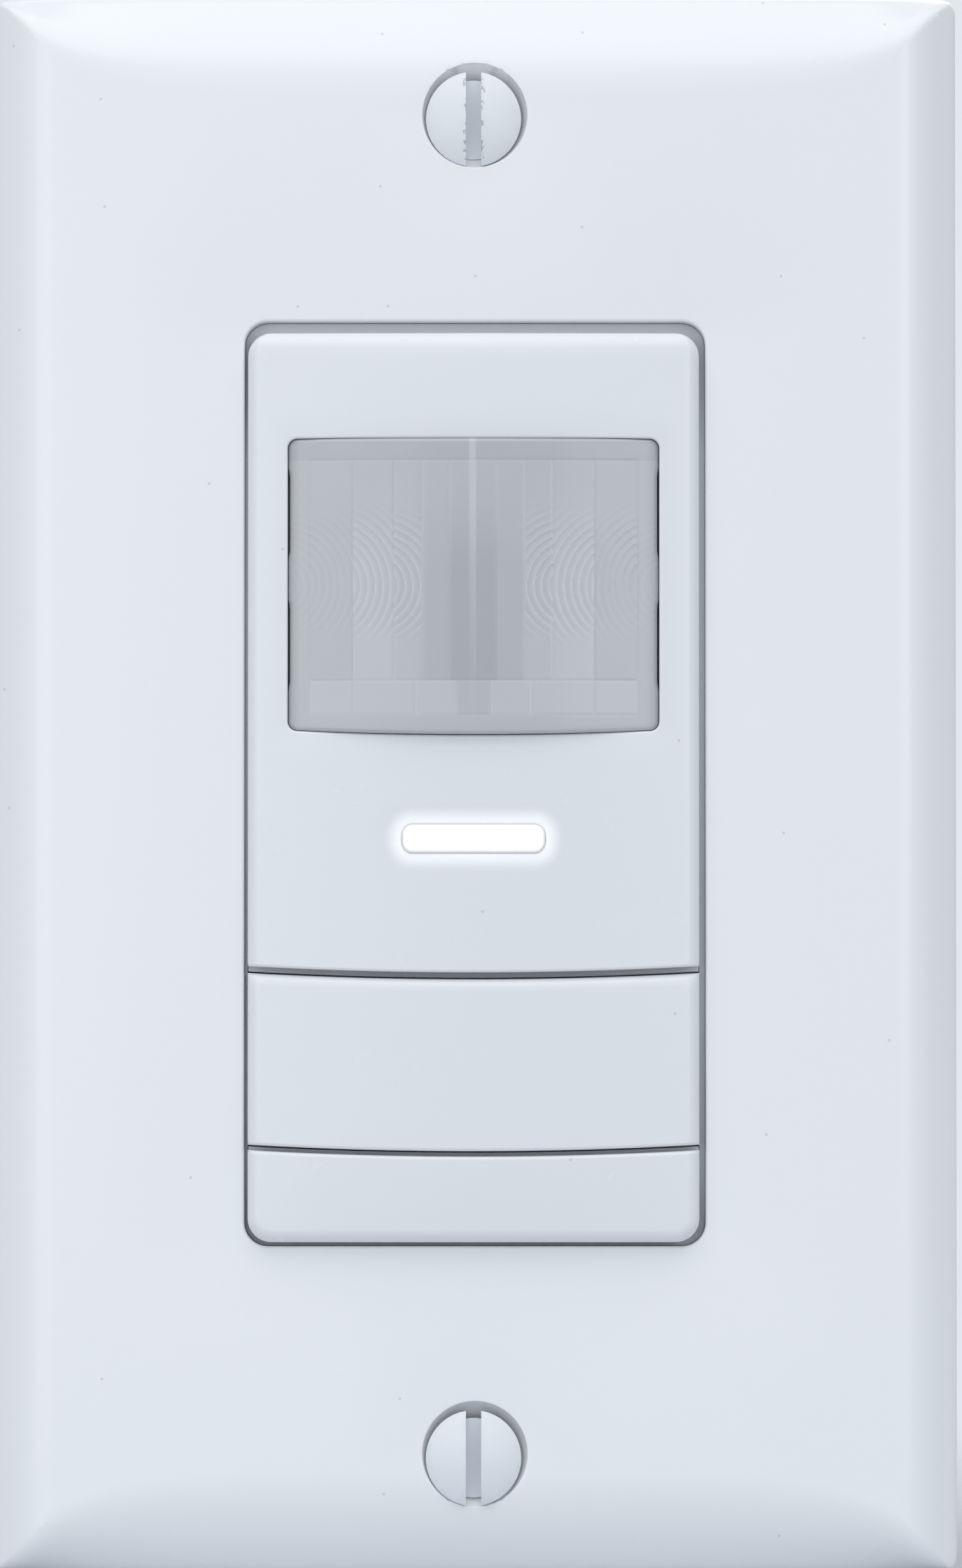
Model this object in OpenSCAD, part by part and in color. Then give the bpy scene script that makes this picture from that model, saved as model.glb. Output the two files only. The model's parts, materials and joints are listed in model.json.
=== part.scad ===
// Motion sensor light switch: a decorator-style wall switch with its wall plate.
// Frame: X to the right, Z up, Y into the wall. The wall surface is the plane Y = 0,
// and the origin lies midway between the two screws that fix the device to its wall box.

/* [Wall plate] */
// Width of the wall plate
plate_w = 69.85; // [64:0.05:90]
// Height of the wall plate
plate_h = 114.3; // [111:0.1:140]
// Depth of the wall plate from the wall to its front
plate_depth = 5.6; // [5.4:0.1:7]
// Wall thickness of the wall plate
plate_wall = 2; // [1.6:0.1:2.2]
// Thickness of the wall plate's rim at the top and bottom
plate_end_wall = 3.2; // [2.6:0.1:3.4]
// Height of the wall plate's rim above the wall
plate_rim = 2.8; // [2.4:0.1:3.4]
// Corner radius of the wall plate seen from the front
plate_corner_r = 1.2; // [0.5:0.1:4]
// Width of the rolled top and bottom edges
plate_roll_end = 7.6; // [5:0.1:9]
// Width of the rolled side edges
plate_roll_side = 4.4; // [4.3:0.1:6]
// Gap between the face and the opening at each side
opening_gap_side = 0.36; // [0.25:0.01:1]
// Gap between the face and the opening above and below
opening_gap_end = 0.6; // [0.4:0.01:1.5]
// Distance that the plate hangs to the right of the device
plate_shift_x = 0.1; // [-0.2:0.01:0.2]
// Distance that the plate hangs above the device
plate_shift_z = 0.3; // [-0.35:0.01:0.35]

/* [Face] */
// Width of the face
face_w = 32.6; // [32:0.1:36]
// Height of the face
face_h = 65.7; // [65:0.1:70]
// Height of the face's crest above the wall plate
face_proud = 2; // [1.8:0.1:4]
// Corner radius of the face seen from the front
face_corner_r = 1.7; // [1:0.1:3]
// Radius of the face's slight bow from side to side
face_bow_r = 180; // [140:5:400]
// Radius of the face's rounded front edges
face_edge_r = 0.9; // [0.4:0.1:1.4]
// Thickness of the face at its crest
face_wall = 2; // [1.8:0.1:2.4]
// Thickness of the walls behind the face's edge
side_wall = 1.6; // [1.2:0.1:1.8]
// Radius of the curved seams and of the lens's lower edge
seam_r = 290; // [150:5:600]
// Height of the fixed strip below the button
strip_h = 6.2; // [5.5:0.1:8]

/* [Push button] */
// Height of the button
button_h = 12.4; // [11:0.1:16]
// Gap above the button
button_gap_top = 0.48; // [0.35:0.01:0.8]
// Gap below the button
button_gap_bottom = 0.37; // [0.32:0.01:0.8]
// Thickness of the button's front
button_wall = 1.8; // [1.4:0.1:2]
// Thickness of the button's skirt
button_skirt = 1.3; // [1:0.1:1.6]
// Room under the skirt for the button's travel
button_room = 1.2; // [1:0.1:1.5]
// Radius of the button's pivot pins
pivot_r = 0.7; // [0.5:0.05:0.75]
// Distance of the pivot below the button's top edge
pivot_drop = 1.75; // [1.6:0.05:2.5]
// Distance from the pivot down to the switch plunger
press_lever = 5.6; // [4:0.1:7]
// Full press of the button in degrees
press_angle = 3.2; // [1:0.1:3.5]

/* [Lens] */
// Distance from each side of the face to the lens window
lens_side_margin = 2.9; // [2.8:0.1:5]
// Distance from the top of the face to the lens window
lens_top_margin = 7.7; // [7.5:0.1:10]
// Height of the lens window at its middle
lens_h = 21.4; // [18:0.1:23]
// Corner radius of the lens window
lens_corner_r = 0.7; // [0.4:0.1:2]
// Height of the lens's crest above the face's crest
lens_proud = 0.7; // [0.4:0.1:2]
// Radius of the lens's bow from side to side
lens_bow_r = 65; // [55:1:120]
// Thickness of the lens
lens_wall = 0.8; // [0.6:0.1:1]
// Gap around the lens in its window
lens_gap = 0.12; // [0.05:0.01:0.2]
// Width of the lip that keeps the lens behind the face
lens_lip = 0.9; // [0.6:0.1:1]

/* [Status light] */
// Width of the light bar
bar_w = 10.4; // [8:0.1:14]
// Height of the light bar
bar_h = 2.15; // [2:0.05:3]
// Corner radius of the light bar
bar_corner_r = 0.95; // [0.3:0.05:0.95]
// Distance from the lens window down to the middle of the light bar
bar_drop = 7.5; // [6.5:0.1:8.5]
// Height of the light bar above the face's crest
bar_proud = 0.2; // [0.1:0.05:0.6]

/* [Mounting strap] */
// Length of the strap
strap_h = 105; // [103:0.5:108]
// Thickness of the strap
strap_t = 1.2; // [1:0.1:1.4]
// Width of the strap's ears
ear_w = 34; // [32:0.5:40]
// Distance between the two wall box screws
box_spacing = 83.34; // [83:0.02:83.8]
// Distance between the two wall plate screws
plate_screw_spacing = 96.84; // [96.5:0.02:97.2]
// Radius of the thread on the wall box, wall plate and terminal screws
thread_r = 1.75; // [1.6:0.01:1.8]

/* [Rear housing] */
// Width of the rear housing
housing_w = 42.7; // [42:0.1:46]
// Height of the rear housing
housing_h = 69.6; // [69:0.1:72]
// Depth of the rear housing behind the wall
housing_depth = 34; // [33.5:0.5:44]
// Wall thickness of the rear housing
housing_wall = 1.8; // [1.5:0.1:2]
// Depth of the control board's front behind the wall
control_depth = 10; // [9.5:0.1:10.5]
// Depth of the terminal pockets in the housing's sides
pocket_depth = 3.2; // [3:0.1:3.4]

/* [Hidden] */
$fn = 48;
large_fn = 1440;

// Clearances: a thread or pin in its hole, a close fit, and room between loose pieces
thread_gap = 0.05;
pin_gap = 0.05;
fit_gap = 0.1;
loose_gap = 0.3;
// Overlap of shapes that are joined, and reach of a cut past what it cuts
join = 0.05;
cut = 1;

// Heights ahead of the wall, positive towards the room
face_front = plate_depth + face_proud;
face_inner = face_front - face_wall;
plate_inner = plate_depth - plate_wall;
flange_t = 1.8;
flange_front = strap_t + flange_t;
lip_t = 0.8;
lip_back = face_inner - lip_t;
retainer_t = 1.4;
retainer_back = lip_back - retainer_t;

// Heights along the face, from its middle
window_top = face_h / 2 - lens_top_margin;
window_bottom = window_top - lens_h;
window_mid = (window_top + window_bottom) / 2;
bar_z = window_bottom - bar_drop;
strip_top = -face_h / 2 + strip_h;
button_bottom = strip_top + button_gap_bottom;
button_top = button_bottom + button_h;
panel_bottom = button_top + button_gap_top;

// Section of the face: where its round edges meet the bow
bow_centre = face_bow_r - face_front;
edge_x = face_w / 2 - face_edge_r;
edge_y = bow_centre - sqrt(pow(face_bow_r - face_edge_r, 2) - pow(edge_x, 2));
bow_end_x = edge_x * face_bow_r / (face_bow_r - face_edge_r);

// Wall plate screws: a countersunk oval head that floats in its hole by the plate's shift
head_angle = 41;
oval_head_r = 3.45;
oval_dome = 0.95;
oval_edge = 0.1;
oval_sink = 0.1;
oval_rim = plate_depth - oval_sink;
oval_cone = (oval_head_r - thread_r) / tan(head_angle);
oval_crown = oval_dome - oval_edge;
oval_dome_r = (pow(oval_head_r, 2) + pow(oval_crown, 2)) / (2 * oval_crown);
oval_slot_depth = 1.6;
screw_slot = 1.1;
plate_screw_length = 12.7;
plate_float = norm([plate_shift_x, plate_shift_z]) + 0.02;
countersink_r = oval_head_r + plate_float + oval_sink * tan(head_angle);
plate_hole_r = thread_r + plate_float + fit_gap;
countersink_depth = min((countersink_r - plate_hole_r) / tan(head_angle), plate_wall - join);

// Housing screws, with the bosses and columns that take them
boss_r = 2.3;
boss_lap = 0.4;
boss_floor = 0.6;
housing_screw_r = 1.4;
housing_screw_x = face_w / 2 - side_wall - boss_r + boss_lap;
housing_screw_z = face_h / 2 - side_wall - boss_r + boss_lap;
housing_screw_seat = 10;
housing_head_r = 2.6;
housing_head_t = 1.8;
recess_w = 0.8;
recess_l = 3.2;
recess_depth = 1.1;
column_r = 3.9;

// Inside of the rear housing, and the two boards
housing_corner_r = 2.5;
inner_w = housing_w - 2 * housing_wall;
inner_h = housing_h - 2 * housing_wall;
inner_corner_r = 1;
floor_y = housing_depth - housing_wall;
board_t = 1.6;
board_corner_r = 1.5;
board_edge_gap = 0.35;
board_end_gap = 0.85;
board_h = 2 * (housing_screw_z - column_r - board_end_gap);
rib_w = 2.2;
rib_depth = 1.75;
rib_inset = 1;
rib_z = board_h / 2 - rib_w / 2 - rib_inset;
control_back = control_depth + board_t;
control_w = inner_w - 2 * board_edge_gap;
board_stand = 2;
power_back = floor_y - board_stand;
power_front = power_back - board_t;
power_w = inner_w - 2 * (rib_depth + board_edge_gap);
board_space = power_front - control_back;

// Mounting strap and what is fixed to it
strap_corner_r = 2;
ear_corner_r = 3;
strap_side = 0.15;
strap_end = 0.7;
strap_w = housing_w + 2 * strap_side;
strap_mid_h = housing_h + 2 * strap_end;
strap_rail = 2.05;
strap_land = 2;
strap_window_w = inner_w - 2 * strap_rail;
strap_window_h = 2 * (housing_screw_z - housing_screw_r - strap_land);
slot_w = 4.2;
slot_l = 7;
pan_head_r = 3.4;
pan_head_t = min(2, plate_inner - strap_t - loose_gap);
box_screw_length = 25.4;
box_neck_cut = 0.3;
box_neck_r = thread_r - box_neck_cut;
box_neck_end = loose_gap;
ground_y = 4.3;
ground_head_r = 3.5;
ground_head_t = 2.2;
ground_shank = 5.2;
ground_clear = 2.67;
tab_edge = 4;
tab_x = tab_edge - ear_w / 2;
tab_z = -housing_h / 2 - ground_head_r - ground_clear;
tab_w = 8;
tab_length = 8.2;

// Front cover
flange_inset = 0.35;
flange_margin = 2.55;
flange_w = housing_w - 2 * flange_inset;
flange_h = face_h + 2 * flange_margin;
flange_corner_r = 2;
cavity_corner_r = face_corner_r / 2;
post_r = 1.2;
post_inset = 0.5;
post_x = strap_window_w / 2 - post_r - loose_gap;
post_z = rib_z - post_inset;
lens_w = face_w - 2 * lens_side_margin;
peg_r = 0.8;
peg_reach = 0.25;
peg_end = retainer_back - peg_reach;
peg_x_top = 7;
peg_rise = 1.3;
peg_z_top = window_top + lens_lip + peg_rise;
peg_inset = 2.4;
peg_x_low = lens_w / 2 - peg_inset;
pipe_lip = 1;
stem_w = 6;
stem_h = 1.6;
retainer_w = lens_w + 2 * lens_lip;
retainer_top = window_top + lens_lip;
retainer_drop = 1.5;
retainer_bottom = bar_z - bar_h / 2 - pipe_lip - retainer_drop;
retainer_corner_r = 1;
retainer_ledge = 1;
tab_side = 3.2;

// Push button, its pivot and the switch that it works
button_inner = face_front - button_wall;
skirt_back = flange_front + button_room;
pivot_rise = 1.2;
pivot_h = flange_front + pivot_rise;
pivot_z = button_top - pivot_drop;
press_z = pivot_z - press_lever;
lug_x = 9.3;
lug_t = 1.7;
lug_h = 3;
lug_front = button_inner - loose_gap;
ear_gap = 0.2;
ear_x = lug_x + lug_t + ear_gap;
ear_t = 1.5;
ear_wall = 0.25;
ear_r = pivot_r + ear_wall;
actuator_r = 1.2;
actuator_dome_r = 2.5;
plunger_r = 1.75;
plunger_rise = 0.6;
plunger_front = flange_front + plunger_rise;
plunger_travel = press_lever * press_angle * PI / 180;
actuator_end = plunger_front + join;

// Components on the control board: width, height above the board and width along Z
tact_size = [6, 3.5, 6];
tact_corner_r = 0.5;
tact_floor = 2;
plunger_base = control_depth - tact_floor;
pir_can_r = 4.1;
pir_flange_r = 4.6;
pir_t = 4.8;
pir_flange_t = 0.6;
pir_window_size = [4.4, 0.4, 3.4];
daylight_size = [3.2, 1.1, 2.4];
daylight_x = 9.5;
daylight_rise = 4.2;
daylight_z = window_bottom + daylight_rise;
daylight_dome = [0.8, 0.3];
led_base = [3.2, 0.9, 2.6];
led_t = 1.8;
led_dome_r = 1.15;
chip_size = [7, 1.3, 7];
chip_at = [-9.5, -10];
chip_lift = 0.15;
chip_leg = [0.35, 0.5, 0.8];
chip_pitch = 0.9;
chip_legs = 7;

// Terminals in the pockets of the housing's sides
pocket_w = 11;
pocket_skin = 1.5;
pocket_rim = 1.2;
pocket_clear = 1;
pocket_h = board_space - 2 * (pocket_rim + pocket_clear);
pocket_floor = housing_w / 2 - pocket_depth;
terminal_y = (control_back + power_front) / 2;
terminal_t = 0.9;
terminal_edge = 0.4;
terminal_side = 0.9;
terminal_w = pocket_w - 2 * terminal_side;
tail_w = 3.2;
tail_gap = 0.15;
tail_y = pocket_h / 2 - terminal_edge - terminal_t;
tail_reach = 2.05;
tail_x = pocket_floor - pocket_skin - tail_reach;
binding_head_r = 3.8;
binding_head_t = 2;
binding_shank = 3.45;
line_z = 1;
pocket_spacing = 3;
load_z = line_z - pocket_w - pocket_spacing;
neutral_z = -6;

// Relay: heights are above the power board
relay_z = 16.25;
relay_headroom = 1.6;
relay_size = [28, board_space - relay_headroom, 12.5];
relay_base_t = 1.5;
relay_wall = 0.8;
yoke_x = -12.6;
yoke_t = 1.2;
yoke_half = 4;
yoke_foot_t = 1;
yoke_foot = relay_base_t + yoke_foot_t;
armature_room = 4.9;
yoke_top = relay_size.y - armature_room;
core_x = -5.2;
core_r = 1.6;
pole_r = 2.6;
pole_t = 0.8;
coil_r = 4.2;
coil_flange_r = 4.7;
coil_flange_t = 0.7;
hinge_r = 0.6;
hinge_x = yoke_x + yoke_t / 2;
hinge_h = yoke_top + hinge_r + fit_gap;
pole_rise = 0.2;
pole_top = hinge_h + pole_rise;
coil_top = pole_top - pole_t - fit_gap;
coil_bottom = yoke_foot + fit_gap;
throw_angle = 4;
armature_low = pole_top + (core_x + pole_r - hinge_x) * tan(throw_angle) + fit_gap / 2;
armature_t = 1.1;
armature_lap = 0.8;
armature_end = core_x + pole_r + armature_lap;
leaf_rise = 0.3;
leaf_low = armature_low + leaf_rise;
leaf_t = 0.4;
leaf_w = 3.2;
contact_x = 8;
contact_r = 1.3;
contact_t = 0.8;
contact_post = 1.4;
contact_gap = (contact_x + contact_r - hinge_x) * tan(throw_angle) + fit_gap;
fixed_top = leaf_low - contact_t - contact_gap;

// Other components on the power board
header_pitch = 2.54;
header_count = 4;
header_w = 2.5;
header_end = 0.25;
header_length = header_count * header_pitch + 2 * header_end;
header_t = 2.5;
header_gap = 0.45;
header_z = relay_z - relay_size.z / 2 - header_gap - header_w / 2;
socket_t = 6;
pin_r = 0.32;
pin_tip = 0.6;
board_screw_side = 3.95;
board_screw_rise = 3.1;
board_screw_x = power_w / 2 - board_screw_side;
board_screw_z = -board_h / 2 + board_screw_rise;
board_screw_r = 1.2;
board_head_r = 2.2;
board_head_t = 1.4;
stand_r = 2;
stand_drop = 1.6;
stand_z = board_h / 2 - stand_drop;
tail_clear = 1.4;
film_size = [6, 12, 13];
film_at = [film_size.x / 2 + tail_clear - tail_x, -8.5];
film_corner_r = 0.6;
can_r = 4;
can_t = 13;
can_at = [-4.2, 2.4];
can_score = [0.3, 0.2, 5.2];
disc_r = 5;
disc_t = 4;
disc_lift = 1.4;
disc_at = [8.5, -10];
lead_r = 0.4;
lead_at = [1.2, 2.5];
core_size = [11, 2, 10];
winding_size = [7.6, 7, 9];
core_at = [6.6, 1.4];
rectifier_size = [5, 2.4, 4.5];
rectifier_at = [-1.5, -8];
fuse_r = 1.4;
fuse_l = 8;
fuse_lead_r = 0.35;
fuse_span = 10.6;
fuse_lift = 0.4;
fuse_at = [0, -16.8];

// Basic shapes

// Extrudes a drawing of X and Z from depth y0 back to depth y1
module along_y(y0, y1) {
    translate([0, y1, 0]) rotate([90, 0, 0]) linear_extrude(y1 - y0) children();
}

// Extrudes a drawing of X and Z between two heights ahead of the wall
module ahead(low, high) {
    along_y(-high, -low) children();
}

// Round bar along Y
module rod_y(r, y0, y1) {
    translate([0, y1, 0]) rotate([90, 0, 0]) cylinder(r = r, h = y1 - y0);
}

// Round bar along X
module rod_x(r, x0, x1) {
    translate([x0, 0, 0]) rotate([0, 90, 0]) cylinder(r = r, h = x1 - x0);
}

// Block between two corners
module block(low, high) {
    translate(low) cube(high - low);
}

// Block that stands on a board, with -Y as the height above it
module board_block(size) {
    along_y(-size.y, 0) square([size.x, size.z], center = true);
}

// The same shape on the left and the right
module both_sides() {
    children();
    mirror([1, 0, 0]) children();
}

// The same shape upright and lying, turned about Y
module crosswise() {
    for (turn = [0, 90]) rotate([0, turn, 0]) children();
}

// Rectangle with round corners
module rounded_rect(w, h, r) {
    square([w - 2 * r, h], center = true);
    square([w, h - 2 * r], center = true);
    for (x = [-1, 1], z = [-1, 1]) translate([x * (w / 2 - r), z * (h / 2 - r)]) circle(r);
}

// Slot with round ends, lying along X
module obround(l, w) {
    square([l - w, w], center = true);
    for (x = [-1, 1]) translate([x * (l - w) / 2, 0]) circle(w / 2);
}

// Section of a slab whose two front corners are rounded
module rounded_section(half, high, r) {
    translate([-half, r - high]) square([2 * half, high - r]);
    translate([r - half, -high]) square([2 * (half - r), high]);
    for (x = [-1, 1]) translate([x * (half - r), r - high]) circle(r);
}

// Section of a slab whose front falls away in an arc of a width along each side, down to a rim
module rolled_section(half, high, rim, width) {
    drop = high - rim;
    r = (pow(width, 2) + pow(drop, 2)) / (2 * drop);
    flat = half - width;
    translate([-flat, -high]) square([2 * flat, high]);
    for (side = [-1, 1]) intersection() {
        translate([side * flat, r - high]) circle(r, $fn = large_fn);
        translate([side * (flat + half) / 2, -high / 2])
            square([width + 2 * join, high], center = true);
    }
}

// Section of the face: a bowed front whose edges are rounded into the sides
module bowed_section() {
    intersection() {
        translate([0, bow_centre]) circle(face_bow_r, $fn = large_fn);
        translate([-bow_end_x, -face_front - cut]) square([2 * bow_end_x, face_front + cut]);
    }
    translate([-face_w / 2, edge_y]) square([face_w, -edge_y]);
    for (x = [-1, 1]) translate([x * edge_x, edge_y]) circle(face_edge_r);
}

// Disc whose lowest point is at height z, which bounds what lies above a curved seam
module above_seam(z, r = seam_r) {
    translate([0, z + seam_r]) circle(r, $fn = large_fn);
}

// Outline of the lens window, grown or shrunk by a margin
module window_shape(margin) {
    intersection() {
        translate([0, window_mid])
            rounded_rect(lens_w + 2 * margin, lens_h + 2 * margin, max(lens_corner_r + margin, fit_gap));
        above_seam(window_bottom, seam_r + margin);
    }
}

// Solid whose front is the lens's curve, less an inset
module lens_curve(inset) {
    translate([0, lens_bow_r - face_front - lens_proud, 0])
        cylinder(r = lens_bow_r - inset, h = 2 * face_h, center = true, $fn = large_fn);
}

// Outline of the light bar, grown or shrunk by a margin
module bar_shape(margin) {
    translate([0, bar_z])
        rounded_rect(bar_w + 2 * margin, bar_h + 2 * margin, bar_corner_r + min(margin, 0));
}

// Bar that cuts a screw's slot, upright, between two heights ahead of the wall
module slot_cut(low, high, length) {
    block([-screw_slot / 2, -high, -length], [screw_slot / 2, -low, length]);
}

// Wall plate and its screws

module plate_body() {
    intersection() {
        ahead(0, plate_depth) rounded_rect(plate_w, plate_h, plate_corner_r);
        linear_extrude(plate_h + 2 * cut, center = true)
            rolled_section(plate_w / 2, plate_depth, plate_rim, plate_roll_side);
        rotate([0, 90, 0]) linear_extrude(plate_w + 2 * cut, center = true)
            rolled_section(plate_h / 2, plate_depth, plate_rim, plate_roll_end);
    }
}

// Places a child at each of the two wall plate screws
module at_plate_screws() {
    for (z = [-1, 1]) translate([0, 0, z * plate_screw_spacing / 2]) children();
}

module wallplate() {
    color("aliceblue") translate([plate_shift_x, 0, plate_shift_z]) difference() {
        plate_body();
        ahead(-cut, plate_inner)
            rounded_rect(plate_w - 2 * plate_wall, plate_h - 2 * plate_end_wall, plate_corner_r);
        ahead(plate_inner - cut, plate_depth + cut)
            rounded_rect(face_w + 2 * opening_gap_side, face_h + 2 * opening_gap_end, face_corner_r);
        at_plate_screws() {
            rod_y(plate_hole_r, -plate_depth - cut, 0);
            translate([0, -plate_depth, 0]) rotate([-90, 0, 0])
                cylinder(r1 = countersink_r, h = countersink_depth,
                    r2 = countersink_r - countersink_depth * tan(head_angle));
        }
    }
}

module oval_screw() {
    difference() {
        union() {
            intersection() {
                translate([0, oval_dome_r - oval_rim - oval_dome, 0]) sphere(oval_dome_r);
                rod_y(oval_head_r, -oval_rim - oval_dome, -oval_rim);
            }
            translate([0, -oval_rim, 0]) rotate([-90, 0, 0])
                cylinder(r1 = oval_head_r, r2 = thread_r, h = oval_cone);
            rod_y(thread_r, -oval_rim + oval_cone, plate_screw_length - oval_rim);
        }
        slot_cut(oval_rim + oval_dome - oval_slot_depth, oval_rim + oval_dome + cut, oval_head_r + cut);
    }
}

module wallplate_screws() {
    color("ghostwhite") at_plate_screws() oval_screw();
}

// Face of the device

// The whole face as one solid, from a height ahead of the wall to its front
module face_solid(low) {
    intersection() {
        ahead(low, face_front + cut) rounded_rect(face_w, face_h, face_corner_r);
        linear_extrude(face_h + 2 * cut, center = true) bowed_section();
        rotate([0, 90, 0]) linear_extrude(face_w + 2 * cut, center = true)
            rounded_section(face_h / 2, face_front, face_edge_r);
    }
}

// Outline of the panel above the button and of the strip below it
module panel_shape() {
    above_seam(panel_bottom);
    difference() {
        translate([0, -face_h / 2]) square([2 * face_w, 2 * strip_h + cut], center = true);
        above_seam(strip_top);
    }
}

// Outline of the hollows behind that panel and that strip
module cavity_shape() {
    difference() {
        rounded_rect(face_w - 2 * side_wall, face_h - 2 * side_wall, cavity_corner_r);
        difference() {
            above_seam(strip_top, seam_r + side_wall);
            above_seam(panel_bottom, seam_r - side_wall);
        }
    }
}

// Places a child at each of the four housing screws
module at_housing_screws() {
    for (x = [-1, 1], z = [-1, 1])
        translate([x * housing_screw_x, 0, z * housing_screw_z]) children();
}

// Places a child at each peg that holds the optics
module at_pegs() {
    for (x = [-1, 1]) {
        translate([x * peg_x_top, 0, peg_z_top]) children();
        translate([x * peg_x_low, 0, bar_z]) children();
    }
}

module front_cover() {
    color("aliceblue") difference() {
        union() {
            difference() {
                union() {
                    intersection() {
                        face_solid(flange_front);
                        ahead(0, face_front + cut) panel_shape();
                    }
                    ahead(strap_t, flange_front) rounded_rect(flange_w, flange_h, flange_corner_r);
                }
                ahead(0, face_inner) cavity_shape();
            }
            at_housing_screws() rod_y(boss_r, -face_inner - join, -strap_t);
            at_pegs() rod_y(peg_r, -face_inner - join, -peg_end);
            for (x = [-1, 1], z = [-1, 1])
                translate([x * post_x, 0, z * post_z]) rod_y(post_r, -flange_front + join, control_depth);
            both_sides() block([lug_x, -lug_front, pivot_z - lug_h / 2],
                [lug_x + lug_t, -flange_front + join, pivot_z + lug_h / 2]);
        }
        ahead(lip_back, face_front + cut) window_shape(0);
        ahead(lip_back, face_front + cut) bar_shape(0);
        at_housing_screws() rod_y(housing_screw_r + thread_gap, -face_inner + boss_floor, cut);
        translate([0, -pivot_h, pivot_z]) both_sides()
            rod_x(pivot_r + pin_gap, lug_x - cut, lug_x + lug_t + cut);
        translate([0, 0, press_z]) rod_y(plunger_r + 2 * loose_gap, -flange_front - cut, 0);
    }
}

module fresnel_lens() {
    color("lightgray") difference() {
        union() {
            intersection() {
                ahead(lip_back, face_front + lens_proud + cut) window_shape(-lens_gap);
                lens_curve(0);
            }
            ahead(lip_back, face_inner) window_shape(lens_lip);
        }
        intersection() {
            ahead(0, face_front + lens_proud) window_shape(-lens_gap - lens_wall);
            lens_curve(lens_wall);
        }
    }
}

module light_pipe() {
    color("white") {
        ahead(face_inner - join, face_front + bar_proud) bar_shape(-fit_gap / 2);
        ahead(lip_back, face_inner) bar_shape(pipe_lip);
        translate([0, 0, bar_z]) along_y(-lip_back - join, control_depth - led_t - loose_gap)
            square([stem_w, stem_h], center = true);
    }
}

module optics_retainer() {
    color("dimgray") difference() {
        ahead(retainer_back, lip_back) difference() {
            union() {
                translate([0, (retainer_top + retainer_bottom) / 2])
                    rounded_rect(retainer_w, retainer_top - retainer_bottom, retainer_corner_r);
                for (x = [-1, 1]) translate([x * peg_x_top - tab_side / 2, retainer_top - cut])
                    square([tab_side, peg_z_top - retainer_top + tab_side / 2 + cut]);
            }
            window_shape(-lens_gap - lens_wall - retainer_ledge);
            translate([0, bar_z]) square([stem_w, stem_h] + 4 * [fit_gap, fit_gap], center = true);
        }
        at_pegs() rod_y(peg_r + pin_gap, -lip_back - cut, 0);
    }
}

module push_button() {
    color("aliceblue") union() {
        difference() {
            intersection() {
                face_solid(skirt_back);
                ahead(0, face_front + cut) difference() {
                    above_seam(button_bottom);
                    above_seam(button_top);
                }
            }
            ahead(0, button_inner) intersection() {
                square([face_w - 2 * button_skirt, 2 * face_h], center = true);
                difference() {
                    above_seam(button_bottom, seam_r - button_skirt);
                    above_seam(button_top, seam_r + button_skirt);
                }
            }
            translate([0, 0, pivot_z]) both_sides()
                block([lug_x - loose_gap, -button_inner, -lug_h / 2 - loose_gap],
                    [ear_x, cut, lug_h / 2 + loose_gap]);
        }
        translate([0, 0, pivot_z]) both_sides() {
            translate([0, -pivot_h, 0]) rod_x(ear_r, ear_x, ear_x + ear_t);
            block([ear_x, -button_inner - join, -ear_r], [ear_x + ear_t, -pivot_h, ear_r]);
            translate([0, -pivot_h, 0]) rod_x(pivot_r, lug_x, ear_x + join);
        }
        translate([0, 0, press_z]) intersection() {
            rod_y(actuator_r, -button_inner - join, -actuator_end);
            translate([0, -actuator_end - actuator_dome_r, 0]) sphere(actuator_dome_r);
        }
    }
}

// Strap, its screws and the ground terminal

// Places a child at each of the two wall box screws
module at_box_screws() {
    for (z = [-1, 1]) translate([0, 0, z * box_spacing / 2]) children();
}

module mounting_strap() {
    color("silver") difference() {
        union() {
            ahead(0, strap_t) difference() {
                union() {
                    rounded_rect(strap_w, strap_mid_h, strap_corner_r);
                    rounded_rect(ear_w, strap_h, ear_corner_r);
                }
                rounded_rect(strap_window_w, strap_window_h, strap_corner_r);
                translate([tab_x, tab_z - tab_w / 2 - loose_gap])
                    square([tab_length, tab_w + 2 * loose_gap]);
            }
            block([tab_x - strap_t, -strap_t, tab_z - tab_w / 2],
                [tab_x, tab_length, tab_z + tab_w / 2]);
        }
        at_box_screws() along_y(-strap_t - cut, cut) obround(slot_l, slot_w);
        at_plate_screws() rod_y(thread_r + thread_gap, -strap_t - cut, cut);
        at_housing_screws() rod_y(housing_screw_r + 2 * fit_gap, -strap_t - cut, cut);
        translate([tab_x, ground_y, tab_z]) rod_x(thread_r + thread_gap, -strap_t - cut, cut);
    }
}

module box_screws() {
    color("silver") at_box_screws() difference() {
        union() {
            rod_y(pan_head_r, -strap_t - pan_head_t, -strap_t);
            rod_y(box_neck_r, -strap_t - join, box_neck_end + join);
            rod_y(thread_r, box_neck_end, box_screw_length - strap_t);
        }
        slot_cut(strap_t + pan_head_t / 2, strap_t + pan_head_t + cut, pan_head_r + cut);
    }
}

module screw_inserts() {
    color("ivory") at_box_screws() ahead(0, strap_t) difference() {
        obround(slot_l - fit_gap, slot_w - fit_gap);
        circle(thread_r + thread_gap);
    }
}

module ground_screw() {
    color("seagreen") translate([tab_x - strap_t, ground_y, tab_z]) difference() {
        union() {
            rod_x(ground_head_r, -ground_head_t, 0);
            rod_x(thread_r, -join, ground_shank);
        }
        block([-ground_head_t - cut, -screw_slot / 2, -ground_head_r - cut],
            [-ground_head_t / 2, screw_slot / 2, ground_head_r + cut]);
    }
}

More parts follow.
